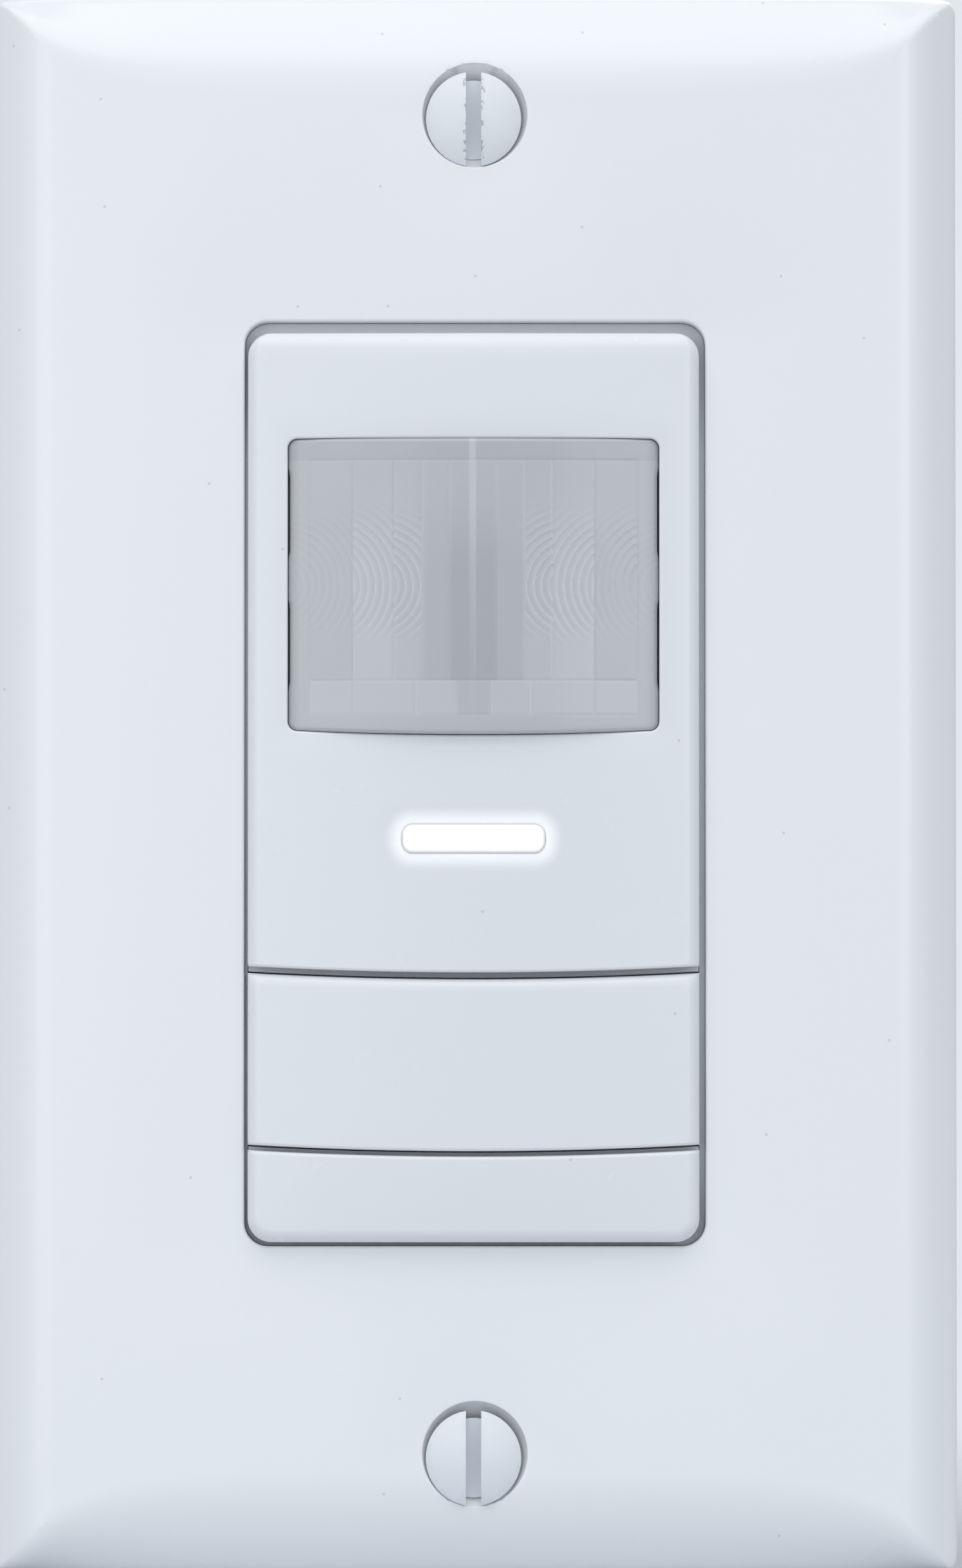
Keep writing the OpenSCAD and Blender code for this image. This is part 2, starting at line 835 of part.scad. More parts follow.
// Rear housing and its screws

// Places a child at a terminal, with X pointing out of that side of the housing
module at_line() {
    translate([0, terminal_y, line_z]) children();
}

module at_load() {
    translate([0, terminal_y, load_z]) children();
}

module at_neutral() {
    translate([0, terminal_y, neutral_z]) mirror([1, 0, 0]) children();
}

module at_terminals() {
    at_line() children();
    at_load() children();
    at_neutral() children();
}

module pocket_shell() {
    block([pocket_floor - pocket_skin, -pocket_h / 2 - pocket_rim, -pocket_w / 2 - pocket_rim],
        [housing_w / 2, pocket_h / 2 + pocket_rim, pocket_w / 2 + pocket_rim]);
}

module pocket_cut() {
    block([pocket_floor, -pocket_h / 2, -pocket_w / 2], [housing_w, pocket_h / 2, pocket_w / 2]);
    rod_x(thread_r + fit_gap, 0, housing_w);
    block([0, tail_y - tail_gap, -tail_w / 2 - tail_gap],
        [pocket_floor + cut, tail_y + terminal_t + tail_gap, tail_w / 2 + tail_gap]);
}

// Places a child at each of the two screws that hold the power board
module at_board_screws() {
    for (x = [-1, 1]) translate([x * board_screw_x, 0, board_screw_z]) children();
}

module rear_housing() {
    color("dimgray") difference() {
        union() {
            difference() {
                along_y(0, housing_depth) rounded_rect(housing_w, housing_h, housing_corner_r);
                along_y(-cut, floor_y) rounded_rect(inner_w, inner_h, inner_corner_r);
            }
            at_housing_screws() rod_y(column_r, 0, housing_depth - join);
            at_terminals() pocket_shell();
            for (x = [-1, 1], z = [-1, 1]) translate([x * (inner_w - rib_depth) / 2, 0, z * rib_z])
                along_y(control_back, floor_y + join) square([rib_depth + 2 * join, rib_w], center = true);
            at_board_screws() rod_y(stand_r, power_back, floor_y + join);
            for (x = [-1, 1]) translate([x * board_screw_x, 0, stand_z])
                rod_y(stand_r, power_back, floor_y + join);
        }
        at_terminals() pocket_cut();
        at_housing_screws() {
            rod_y(housing_screw_r + thread_gap, -cut, housing_depth);
            rod_y(housing_head_r + loose_gap, housing_screw_seat, housing_depth + cut);
        }
        at_board_screws() rod_y(board_screw_r + thread_gap, power_back - cut, floor_y);
    }
}

module housing_screws() {
    color("silver") at_housing_screws() difference() {
        union() {
            rod_y(housing_screw_r, -face_inner + boss_floor + loose_gap, housing_screw_seat + join);
            rod_y(housing_head_r, housing_screw_seat, housing_screw_seat + housing_head_t);
        }
        translate([0, housing_screw_seat + housing_head_t, 0]) crosswise()
            block([-recess_w / 2, -recess_depth, -recess_l / 2], [recess_w / 2, cut, recess_l / 2]);
    }
}

// Control board: sensing, light and button

// Moves a child onto the control board, where -Y is the height above the board
module on_control_board(x, z) {
    translate([x, control_depth, z]) children();
}

// Places a child at each pin that joins the two boards
module at_header_pins() {
    for (i = [0 : header_count - 1])
        translate([(i - (header_count - 1) / 2) * header_pitch, 0, header_z]) children();
}

module control_board() {
    color("darkgreen") difference() {
        along_y(control_depth, control_back) rounded_rect(control_w, board_h, board_corner_r);
        at_header_pins() rod_y(pin_r + fit_gap, 0, housing_depth);
    }
}

module pir_sensor() {
    color("gold") on_control_board(0, window_mid) difference() {
        union() {
            rod_y(pir_can_r, -pir_t, -pir_flange_t + join);
            rod_y(pir_flange_r, -pir_flange_t, 0);
        }
        translate([0, -pir_t + pir_window_size.y + join, 0])
            board_block(pir_window_size + [0, cut, 0]);
    }
}

module pir_window() {
    color("darkslategray") on_control_board(0, window_mid)
        translate([0, -pir_t + pir_window_size.y + join, 0])
            board_block(pir_window_size - [fit_gap, 0, fit_gap]);
}

module daylight_sensor() {
    color("whitesmoke") on_control_board(daylight_x, daylight_z) {
        board_block(daylight_size);
        rod_y(daylight_dome[0], -daylight_size.y - daylight_dome[1], -daylight_size.y + join);
    }
}

module status_led() {
    color("ivory") on_control_board(0, bar_z) {
        board_block(led_base);
        intersection() {
            rod_y(led_dome_r, -led_t, -led_base.y + join);
            translate([0, 2 * led_dome_r - led_t, 0]) sphere(2 * led_dome_r);
        }
    }
}

module tact_switch() {
    color("black") on_control_board(0, press_z) difference() {
        along_y(-tact_size.y, 0) rounded_rect(tact_size.x, tact_size.z, tact_corner_r);
        rod_y(plunger_r + fit_gap, -tact_size.y - cut,
            plunger_base - control_depth + plunger_travel + 2 * fit_gap);
    }
}

module tact_plunger() {
    color("black") translate([0, 0, press_z]) rod_y(plunger_r, -plunger_front, plunger_base);
}

module microcontroller() {
    color("black") on_control_board(chip_at.x, chip_at.y) {
        translate([0, -chip_lift, 0]) board_block(chip_size - [0, chip_lift, 0]);
        for (turn = [0 : 90 : 270], i = [0 : chip_legs - 1]) rotate([0, turn, 0])
            translate([(i - (chip_legs - 1) / 2) * chip_pitch, 0, chip_size.z / 2]) board_block(chip_leg);
    }
}

module board_header() {
    color("black") difference() {
        translate([0, 0, header_z]) {
            translate([0, power_front, 0]) board_block([header_length, header_t, header_w]);
            translate([0, control_back + socket_t, 0]) board_block([header_length, socket_t, header_w]);
        }
        at_header_pins() rod_y(pin_r + fit_gap, 0, housing_depth);
    }
}

module header_pins() {
    color("gold") at_header_pins() rod_y(pin_r, control_depth - pin_tip, power_back + pin_tip);
}

// Power board: relay, supply and terminals

// Moves a child onto the power board, where -Y is the height above the board
module on_power_board(x, z) {
    translate([x, power_front, z]) children();
}

module power_board() {
    color("darkgreen") difference() {
        along_y(power_front, power_back) rounded_rect(power_w, board_h, board_corner_r);
        at_header_pins() rod_y(pin_r + fit_gap, 0, housing_depth);
        at_board_screws() rod_y(board_screw_r + fit_gap, 0, housing_depth);
    }
}

module board_screws() {
    color("silver") translate([0, power_front, 0]) at_board_screws() difference() {
        union() {
            rod_y(board_head_r, -board_head_t, 0);
            rod_y(board_screw_r, -join, board_t + board_stand - loose_gap);
        }
        crosswise() block([-recess_w / 2, -board_head_t - cut, -recess_l / 2],
            [recess_w / 2, -board_head_t / 2, recess_l / 2]);
    }
}

module relay_base() {
    color("dimgray") on_power_board(0, relay_z)
        board_block([relay_size.x, relay_base_t, relay_size.z]);
}

module relay_cover() {
    wall = [2 * relay_wall, relay_wall, 2 * relay_wall];
    color("black") on_power_board(0, relay_z) difference() {
        translate([0, -relay_base_t, 0]) board_block(relay_size - [0, relay_base_t, 0]);
        board_block(relay_size - wall);
    }
}

module relay_yoke() {
    color("lightsteelblue") on_power_board(0, relay_z) {
        along_y(-yoke_top, -relay_base_t) translate([yoke_x, -yoke_half])
            square([yoke_t, 2 * yoke_half]);
        along_y(-yoke_foot, -relay_base_t) translate([yoke_x, -yoke_half])
            square([core_x + coil_r - yoke_x, 2 * yoke_half]);
        translate([core_x, 0, 0]) {
            rod_y(core_r, -pole_top, -yoke_foot + join);
            rod_y(pole_r, -pole_top, -pole_top + pole_t);
        }
    }
}

module relay_coil() {
    color("peru") on_power_board(core_x, relay_z) difference() {
        union() {
            rod_y(coil_r, -coil_top, -coil_bottom);
            rod_y(coil_flange_r, -coil_top, -coil_top + coil_flange_t);
            rod_y(coil_flange_r, -coil_bottom - coil_flange_t, -coil_bottom);
        }
        rod_y(core_r + fit_gap, -relay_size.y, 0);
    }
}

module relay_armature() {
    color("lightsteelblue") on_power_board(0, relay_z) {
        translate([hinge_x, -hinge_h, -yoke_half]) cylinder(r = hinge_r, h = 2 * yoke_half);
        along_y(-armature_low - join, -hinge_h) translate([hinge_x - hinge_r, -yoke_half])
            square([2 * hinge_r, 2 * yoke_half]);
        along_y(-armature_low - armature_t, -armature_low) translate([hinge_x - hinge_r, -yoke_half])
            square([armature_end - hinge_x + hinge_r, 2 * yoke_half]);
        along_y(-leaf_low - leaf_t, -leaf_low) translate([armature_end - join, -leaf_w / 2])
            square([contact_x + contact_r - armature_end, leaf_w]);
        translate([contact_x, 0, 0]) rod_y(contact_r, -leaf_low - join, -leaf_low + contact_t);
    }
}

module relay_contact() {
    color("goldenrod") on_power_board(contact_x, relay_z) {
        along_y(-fixed_top + contact_t - join, -relay_base_t)
            square([contact_post, leaf_w], center = true);
        rod_y(contact_r, -fixed_top, -fixed_top + contact_t);
    }
}

module film_capacitor() {
    color("khaki") on_power_board(film_at.x, film_at.y)
        along_y(-film_size.y, 0) rounded_rect(film_size.x, film_size.z, film_corner_r);
}

module electrolytic_capacitor() {
    color("midnightblue") on_power_board(can_at.x, can_at.y) difference() {
        rod_y(can_r, -can_t, 0);
        translate([0, -can_t + can_score.y, 0]) crosswise() board_block(can_score + [0, cut, 0]);
    }
}

module varistor() {
    color("royalblue") on_power_board(disc_at.x, disc_at.y) {
        translate([0, -disc_r - disc_lift, 0]) rod_x(disc_r, -disc_t / 2, disc_t / 2);
        for (side = [-1, 1]) translate([side * lead_at.x, 0, side * lead_at.y])
            rod_y(lead_r, -disc_r / 2 - disc_lift, 0);
    }
}

module transformer() {
    color("goldenrod") on_power_board(core_at.x, core_at.y) {
        board_block(core_size);
        translate([0, -core_size.y + join, 0]) board_block(winding_size + [0, 2 * join, 0]);
        translate([0, -core_size.y - winding_size.y, 0]) board_block(core_size);
    }
}

module rectifier() {
    color("black") on_power_board(rectifier_at.x, rectifier_at.y) board_block(rectifier_size);
}

module fuse_resistor() {
    color("tan") on_power_board(fuse_at.x, fuse_at.y) {
        translate([0, -fuse_r - fuse_lift, 0]) {
            rod_x(fuse_r, -fuse_l / 2, fuse_l / 2);
            rod_x(fuse_lead_r, -fuse_span / 2, fuse_span / 2);
        }
        for (x = [-1, 1]) translate([x * (fuse_span / 2 - fuse_lead_r), 0, 0])
            board_block([2 * fuse_lead_r, fuse_r + fuse_lift, 2 * fuse_lead_r]);
    }
}

module terminal() {
    end_y = pocket_h / 2 - terminal_edge;
    difference() {
        union() {
            block([pocket_floor, -end_y, -terminal_w / 2],
                [pocket_floor + terminal_t, end_y, terminal_w / 2]);
            block([tail_x, tail_y, -tail_w / 2], [pocket_floor + join, end_y, tail_w / 2]);
            block([tail_x, tail_y, -tail_w / 2],
                [tail_x + terminal_t, power_front - terminal_y, tail_w / 2]);
        }
        rod_x(thread_r + thread_gap, 0, housing_w);
    }
}

module line_terminal() {
    color("goldenrod") at_line() terminal();
}

module load_terminal() {
    color("goldenrod") at_load() terminal();
}

module neutral_terminal() {
    color("silver") at_neutral() terminal();
}

module binding_screw() {
    seat = pocket_floor + terminal_t;
    difference() {
        union() {
            rod_x(binding_head_r, seat, seat + binding_head_t);
            rod_x(thread_r, seat - binding_shank, seat + join);
        }
        block([seat + binding_head_t / 2, -screw_slot / 2, -binding_head_r - cut],
            [seat + binding_head_t + cut, screw_slot / 2, binding_head_r + cut]);
    }
}

module terminal_screws() {
    color("goldenrod") {
        at_line() binding_screw();
        at_load() binding_screw();
    }
}

module neutral_screw() {
    color("silver") at_neutral() binding_screw();
}

wallplate();
wallplate_screws();
front_cover();
fresnel_lens();
light_pipe();
optics_retainer();
push_button();
mounting_strap();
box_screws();
screw_inserts();
ground_screw();
rear_housing();
housing_screws();
control_board();
pir_sensor();
pir_window();
daylight_sensor();
status_led();
tact_switch();
tact_plunger();
microcontroller();
board_header();
header_pins();
power_board();
board_screws();
relay_base();
relay_cover();
relay_coil();
relay_yoke();
relay_armature();
relay_contact();
film_capacitor();
electrolytic_capacitor();
varistor();
transformer();
rectifier();
fuse_resistor();
line_terminal();
load_terminal();
neutral_terminal();
terminal_screws();
neutral_screw();
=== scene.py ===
"""Looks of a motion sensor light switch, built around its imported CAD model.

The switch faces -Y and its wall plate lies against the wall plane Y = 0, with Z up.
Lengths are in metres; finishes work in millimetres of the same frame.
"""

import json
import math

import bmesh
import bpy
import numpy as np
from bpy.props import FloatProperty, FloatVectorProperty, PointerProperty
from bpy.types import Operator, Panel, PropertyGroup
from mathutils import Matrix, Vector
from mathutils.geometry import delaunay_2d_cdt, tessellate_polygon

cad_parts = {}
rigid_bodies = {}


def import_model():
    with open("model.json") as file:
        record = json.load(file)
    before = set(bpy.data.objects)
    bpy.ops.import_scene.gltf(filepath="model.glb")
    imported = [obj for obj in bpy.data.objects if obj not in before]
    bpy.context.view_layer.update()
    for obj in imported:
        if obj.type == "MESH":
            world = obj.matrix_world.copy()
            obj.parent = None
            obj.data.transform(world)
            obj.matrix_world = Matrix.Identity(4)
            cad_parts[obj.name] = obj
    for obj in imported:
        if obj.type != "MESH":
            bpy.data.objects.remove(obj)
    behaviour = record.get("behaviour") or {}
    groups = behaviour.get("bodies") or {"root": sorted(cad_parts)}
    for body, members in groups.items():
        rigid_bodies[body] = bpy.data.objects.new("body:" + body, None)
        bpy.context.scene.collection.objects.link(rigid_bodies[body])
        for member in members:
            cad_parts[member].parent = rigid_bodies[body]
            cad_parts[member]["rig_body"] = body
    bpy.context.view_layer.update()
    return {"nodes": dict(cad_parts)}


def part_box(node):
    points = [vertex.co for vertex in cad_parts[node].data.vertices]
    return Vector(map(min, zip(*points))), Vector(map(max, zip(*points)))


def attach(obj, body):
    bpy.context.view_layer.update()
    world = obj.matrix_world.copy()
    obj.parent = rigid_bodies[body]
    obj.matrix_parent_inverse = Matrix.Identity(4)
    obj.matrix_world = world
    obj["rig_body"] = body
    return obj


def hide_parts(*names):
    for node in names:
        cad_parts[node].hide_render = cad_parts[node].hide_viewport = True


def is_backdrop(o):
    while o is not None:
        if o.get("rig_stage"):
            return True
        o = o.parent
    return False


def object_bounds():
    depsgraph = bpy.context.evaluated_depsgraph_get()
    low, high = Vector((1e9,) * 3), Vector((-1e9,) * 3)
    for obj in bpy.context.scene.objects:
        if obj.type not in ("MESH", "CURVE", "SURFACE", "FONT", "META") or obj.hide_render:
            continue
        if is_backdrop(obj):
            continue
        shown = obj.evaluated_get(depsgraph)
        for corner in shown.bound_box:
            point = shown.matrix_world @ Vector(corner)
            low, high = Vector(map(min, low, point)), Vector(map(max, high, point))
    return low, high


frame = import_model()
MM = 0.001

bl_info = {
    "name": "Motion Sensor Switch",
    "version": (1, 0, 0),
    "blender": (4, 5, 0),
    "location": "3D View > Sidebar > Switch",
    "description": "Builds the shapes, finishes and stage of a motion sensor light switch",
    "category": "Object",
}


# Settings

def linear(red, green, blue):
    """Linear colour of an sRGB colour given from 0 to 255."""
    shares = (c / 255 for c in (red, green, blue))
    return tuple(c / 12.92 if c < 0.04 else ((c + 0.055) / 1.055) ** 2.4 for c in shares)


def length(name, description, millimetres):
    """A length that the user can change."""
    return FloatProperty(name=name, description=description, default=millimetres * MM,
                         unit="LENGTH", subtype="DISTANCE", precision=5)


def power(name, description, watts):
    """Power of a light that the user can change."""
    return FloatProperty(name=name, description=description, default=watts, min=0,
                         subtype="POWER")


def colour(name, description, *srgb):
    """A colour that the user can change, given from 0 to 255."""
    return FloatVectorProperty(name=name, description=description, default=linear(*srgb),
                               size=3, min=0, max=1, subtype="COLOR")


class PlateSettings(PropertyGroup):
    """Wall plate and the two screws that hold it."""

    corner_r: length("Corner radius", "Radius of the corners seen from the front", 1.2)
    rim: length("Rim", "Height of the rim above the wall", 2.8)
    rim_edge: length("Rim edge", "Radius of the rim's front edge", 0.35)
    roll_side: length("Side roll", "Width of the rolled side edges", 4.3)
    roll_end: length("End roll", "Width of the rolled top and bottom edges", 7.4)
    bend_side: length("Side bend", "Width of the bend of the side edges", 2.9)
    bend_end: length("End bend", "Width of the bend of the top and bottom edges", 5.2)
    taper: length("Taper", "Distance from the sides over which the end rolls widen", 5)
    wall: length("Wall", "Thickness of the plate and of its sides", 2)
    end_wall: length("End wall", "Thickness of the rim at the top and bottom", 3.2)
    opening_w: length("Opening width", "Width of the opening for the face", 33.32)
    opening_h: length("Opening height", "Height of the opening for the face", 66.9)
    opening_r: length("Opening corner", "Corner radius of the opening", 1.7)
    opening_edge: length("Opening edge", "Radius of the opening's front edge", 0.22)
    screw_spacing: length("Screw spacing", "Distance between the two screw holes", 96.84)
    sink_r: length("Countersink radius", "Radius of the countersink at the front", 3.78)
    hole_r: length("Hole radius", "Radius of the hole behind the countersink", 2.186)
    sink_depth: length("Countersink depth", "Depth of the countersink", 1.94)
    hole_edge: length("Countersink edge", "Radius of the countersink's front edge", 0.12)
    white: colour("Plate white", "Colour of the wall plate", 231, 234, 237)
    paint: colour("Screw paint", "Colour of the painted screws", 222, 227, 232)
    bare: colour("Bare metal", "Colour of the screws where the paint is worn", 168, 170, 172)


class FaceSettings(PropertyGroup):
    """Bowed face, push button and the fixed strip below it."""

    width: length("Width", "Width of the face", 32.6)
    height: length("Height", "Height of the face", 65.7)
    strip_h: length("Strip height", "Height of the fixed strip below the button", 6.2)
    button_h: length("Button height", "Height of the push button", 12.4)
    gap_above: length("Gap above", "Gap above the push button", 0.48)
    gap_below: length("Gap below", "Gap below the push button", 0.37)
    bow_r: length("Bow radius", "Radius of the face's bow from side to side", 180)
    corner_r: length("Corner radius", "Radius of the face's corners seen from the front", 1.7)
    edge_r: length("Edge radius", "Radius of the face's front edges", 0.9)
    top_w: length("Top edge", "Width of the softer rounding along the top of the face", 1.6)
    end_w: length("End width", "Width over which the face falls away at its top and bottom", 9)
    end_drop: length("End drop", "Depth that the face falls away at its top and bottom", 0.42)
    seam_r: length("Seam radius", "Radius of the curved seams", 290)
    seam_corner: length("Seam corner", "Corner radius where a seam meets the side", 0.3)
    panel_edge: length("Panel seam edge", "Edge radius of the panel above the button", 0.22)
    button_edge: length("Button top edge", "Edge radius along the top of the button", 0.6)
    button_top: length("Button top width", "Width of the rounding along the button's top", 0.85)
    button_foot: length("Button foot edge", "Edge radius along the foot of the button", 0.25)
    strip_edge: length("Strip edge", "Edge radius along the top of the strip", 0.3)
    window_edge: length("Window edge", "Edge radius around the lens and the light bar", 0.2)
    rib: length("Rib", "Depth of the front of the rib in the gaps beside the face", -4.35)
    rib_end: length("Rib ends", "Depth of the front of the rib above and below the face", -3.5)
    seam_rib: length("Seam rib", "Depth of the front of the ribs behind the seams", -4.8)
    seam_gap: length("Seam rib gap", "Gap between those ribs and the push button", 0.12)
    rib_slope: length("Rib slope", "Height over which the rib falls to its ends", 7)
    rib_foot: length("Rib foot", "Depth where the rib stands on the flange", -2.9)
    rib_gap: length("Rib gap", "Gap between the rib and the pieces beside it", 0.03)
    cover_cut: length("Cover joint", "Depth where the panel's skin meets its back", -5.7)
    button_cut: length("Button joint", "Depth where the button's skin meets its back", -5.9)
    white: colour("Face white", "Colour of the face and the button", 221, 225, 229)


class LensSettings(PropertyGroup):
    """Milky segmented lens in the face."""

    side_margin: length("Side margin", "Distance from each side of the face", 2.9)
    top_margin: length("Top margin", "Distance from the top of the face", 7.7)
    height: length("Height", "Height of the window at its middle", 21.4)
    bow_r: length("Bow radius", "Radius of the lens's bow from side to side", 65)
    corner_r: length("Corner radius", "Corner radius of the lens window", 0.7)
    gap: length("Gap", "Gap between the lens and its window", 0.03)
    clear: length("Clearance", "Wider gap along two stretches of each side", 0.1)
    edge_r: length("Edge radius", "Radius of the lens's front edge", 0.3)
    wall: length("Wall", "Thickness of the lens", 0.8)
    side_wall: length("Side wall", "Thickness of the lens along its border", 0.6)
    foot: length("Foot", "Depth where the lens skin meets its lip", -5.62)
    groove: length("Groove pitch", "Spacing of the round grooves", 0.54)
    groove_depth: length("Groove depth", "Depth of the round grooves", 0.03)
    ridge: length("Segment line", "Depth of the lines between segments", 0.028)
    milk: colour("Lens milk", "Colour of the milky lens", 188, 192, 196)
    shade: colour("Lens shade", "Colour of the lens's darker segments", 156, 161, 165)


class BarSettings(PropertyGroup):
    """Lit bar below the lens."""

    width: length("Width", "Width of the slot for the bar", 10.4)
    height: length("Height", "Height of the slot for the bar", 2.15)
    drop: length("Drop", "Distance from the lens window down to the bar's middle", 7.5)
    corner_r: length("Corner radius", "Corner radius of the slot", 0.82)
    gap: length("Gap", "Gap between the bar and its slot", 0.05)
    foot: length("Foot", "Depth where the bar's skin meets its stem", -7.0)
    edge_r: length("Edge radius", "Radius of the bar's front edge", 0.25)
    # Reach of the painted glow: emission on the face around the bar, though the face is no lamp
    painted_halo: length("Halo", "Reach of the glow on the face around the bar", 1.35)
    glow: colour("Glow", "Colour of the lit bar", 255, 255, 255)
    strength: FloatProperty(name="Strength", description="Strength of the lit bar",
                            default=0.6, min=0)


class BackSettings(PropertyGroup):
    """Pieces behind the wall plate."""

    soft_edge: length("Soft edge", "Radius of the edges of moulded and stamped pieces", 0.18)
    housing: colour("Housing", "Colour of the rear housing", 44, 46, 50)
    zinc: colour("Zinc", "Colour of zinc-plated steel", 190, 193, 196)
    brass: colour("Brass", "Colour of the brass terminals and screws", 206, 172, 98)
    green: colour("Ground green", "Colour of the green ground screw", 32, 118, 66)
    board: colour("Board", "Colour of the boards' solder mask", 22, 92, 52)


class StageSettings(PropertyGroup):
    """Floor, lights and camera."""

    distance: length("Distance", "Distance of the camera from the plate", 700)
    frame_w: length("Frame width", "Width of the picture at the plate", 69.52)
    aim_x: length("Aim X", "Point that the camera looks at, to the right", 0.54)
    aim_z: length("Aim Z", "Point that the camera looks at, upwards", 0.24)
    floor_r: length("Floor radius", "Distance where the floor has faded into the background", 300)
    camera_drop: FloatProperty(name="Camera drop", description="Angle of the camera below level",
                               default=math.radians(1.6), subtype="ANGLE")
    background: colour("Background", "Colour seen behind the switch", 226, 231, 238)
    paper: colour("Paper", "Colour of the floor near the switch", 207, 211, 217)
    ambient: colour("Ambient", "Colour of the light from the surroundings", 175, 178, 182)
    above: power("Above", "Power of the light above", 3.2)
    left: power("Left", "Power of the light on the left", 0.15)
    right: power("Right", "Power of the light on the right", 0.26)
    rear: power("Rear", "Power of the light behind the switch", 1.2)


# Shader maths

class Value:
    """A shader socket. An expression on values adds its Math nodes."""

    def __init__(self, finish, socket):
        self.finish = finish
        self.socket = socket

    def math(self, operation, *operands):
        """One Math node on the operands."""
        return self.finish.node("ShaderNodeMath", {"operation": operation},
                                dict(enumerate(operands)))

    def __add__(self, other):
        return self.math("ADD", self, other)

    def __sub__(self, other):
        return self.math("SUBTRACT", self, other)

    def __rsub__(self, other):
        return self.math("SUBTRACT", other, self)

    def __mul__(self, other):
        return self.math("MULTIPLY", self, other)

    def __truediv__(self, other):
        return self.math("DIVIDE", self, other)

    def __pow__(self, other):
        return self.math("POWER", self, other)

    def __abs__(self):
        return self.math("ABSOLUTE", self)

    def __lt__(self, other):
        return self.math("LESS_THAN", self, other)

    def __gt__(self, other):
        return self.math("GREATER_THAN", self, other)

    __radd__ = __add__
    __rmul__ = __mul__

    def at_least(self, low):
        """The larger of this and another value."""
        return self.math("MAXIMUM", self, low)

    def fract(self):
        """The part after the point."""
        return self.math("FRACT", self)

    def fade(self, zero, one):
        """Smooth step from 0 at one end to 1 at the other."""
        return self.finish.node("ShaderNodeMapRange", {"interpolation_type": "SMOOTHSTEP"},
                                {"Value": self, "From Min": zero, "From Max": one})


class Nodes:
    """The nodes of a material or of the surroundings."""

    def __init__(self, tree):
        self.tree = tree

    def node(self, kind, settings=None, inputs=None, output=0):
        """A node of a kind, its settings, and the values or links of its sockets."""
        made = self.tree.nodes.new(kind)
        for name, setting in (settings or {}).items():
            setattr(made, name, setting)
        for name, value in (inputs or {}).items():
            self.plug(made.inputs[name], value)
        return Value(self, made.outputs[output])

    def plug(self, socket, value):
        """Links a value to a socket, or sets the socket to a number or colour."""
        if isinstance(value, Value):
            self.tree.links.new(value.socket, socket)
        elif socket.type == "RGBA" and len(value) == 3:
            socket.default_value = (*value, 1)
        else:
            socket.default_value = value

    def mix(self, factor, first, second):
        """A colour between two colours."""
        return self.node("ShaderNodeMix", {"data_type": "RGBA"},
                         {0: factor, 6: first, 7: second}, output=2)


class Finish(Nodes):
    """A procedural material. x, y and z are the place on the part in millimetres."""

    def __init__(self, name):
        self.material = bpy.data.materials.new(name)
        self.material.use_nodes = True
        super().__init__(self.material.node_tree)
        self.shader = self.tree.nodes["Principled BSDF"]
        place = self.node("ShaderNodeTexCoord", output="Object")
        self.place = self.scaled(place, (1 / MM,) * 3)
        self.x, self.y, self.z = (
            self.node("ShaderNodeSeparateXYZ", inputs={0: self.place}, output=axis)
            for axis in "XYZ")

    def surface(self, **sockets):
        """Sets sockets of the shader; an underscore in a name stands for a space."""
        for name, value in sockets.items():
            self.plug(self.shader.inputs[name.replace("_", " ")], value)
        return self

    def scaled(self, vector, factors):
        """A vector stretched along each axis."""
        return self.node("ShaderNodeVectorMath", {"operation": "MULTIPLY"},
                         {0: vector, 1: factors})

    def noise(self, size, detail=2, stretch=(1, 1, 1)):
        """Soft noise from 0 to 1 whose blotches have a size in millimetres."""
        return self.node("ShaderNodeTexNoise", inputs={
            "Vector": self.scaled(self.place, stretch), "Scale": 1 / size, "Detail": detail},
            output="Fac")

    def specks(self, spacing, size, kept):
        """Mask of round specks seen from the front, of which a share is kept."""
        settings = {"feature": "F1", "voronoi_dimensions": "2D"}
        plan = self.node("ShaderNodeCombineXYZ", inputs={"X": self.x, "Y": self.z})
        inputs = {"Vector": plan, "Scale": 1 / spacing}
        near = self.node("ShaderNodeTexVoronoi", settings, inputs, output="Distance")
        pick = self.node("ShaderNodeTexVoronoi", settings, inputs, output="Color")
        chance = self.node("ShaderNodeSeparateColor", inputs={"Color": pick}, output="Red")
        return near.fade(size / spacing, size / spacing / 2) * (chance < kept)

    def relief(self, height, depth):
        """Bump on the surface from a height between 0 and 1, with its depth in millimetres."""
        bump = self.node("ShaderNodeBump", inputs={"Height": height, "Distance": depth * MM},
                         output="Normal")
        return self.surface(Normal=bump)


def tinted(rgb, factor):
    """A colour made darker or brighter."""
    return tuple(min(c * factor, 1) for c in rgb)


# Specks of dust: their spacing and size in millimetres, how well they cover and their tint
DUST_SPACING, DUST_SIZE, DUST_COVER, DUST_TINT = 7, 0.13, 0.35, 0.4


def moulded(name, rgb, rough=0.4, mottle=0.03, grain=0.25, depth=0.004, uneven=0.12, dust=0):
    """Moulded plastic: a faint cloudiness, a share of dust, uneven gloss and fine grain."""
    finish = Finish(name)
    cloud = finish.noise(9, 3)
    base = finish.mix(cloud, tinted(rgb, 1 - mottle), tinted(rgb, 1 + mottle))
    if dust:
        specks = finish.specks(DUST_SPACING, DUST_SIZE, dust)
        base = finish.mix(specks * DUST_COVER, base, tinted(rgb, DUST_TINT))
    finish.surface(Base_Color=base, Roughness=rough + uneven * (finish.noise(3, 4) - 0.5))
    return finish.relief(finish.noise(grain, 3), depth)


def white_plastic(name, rgb, rough, dust):
    """Smooth white plastic with specks of dust."""
    return moulded(name, rgb, rough, mottle=0.004, grain=0.5, depth=0.0006, uneven=0.02,
                   dust=dust)


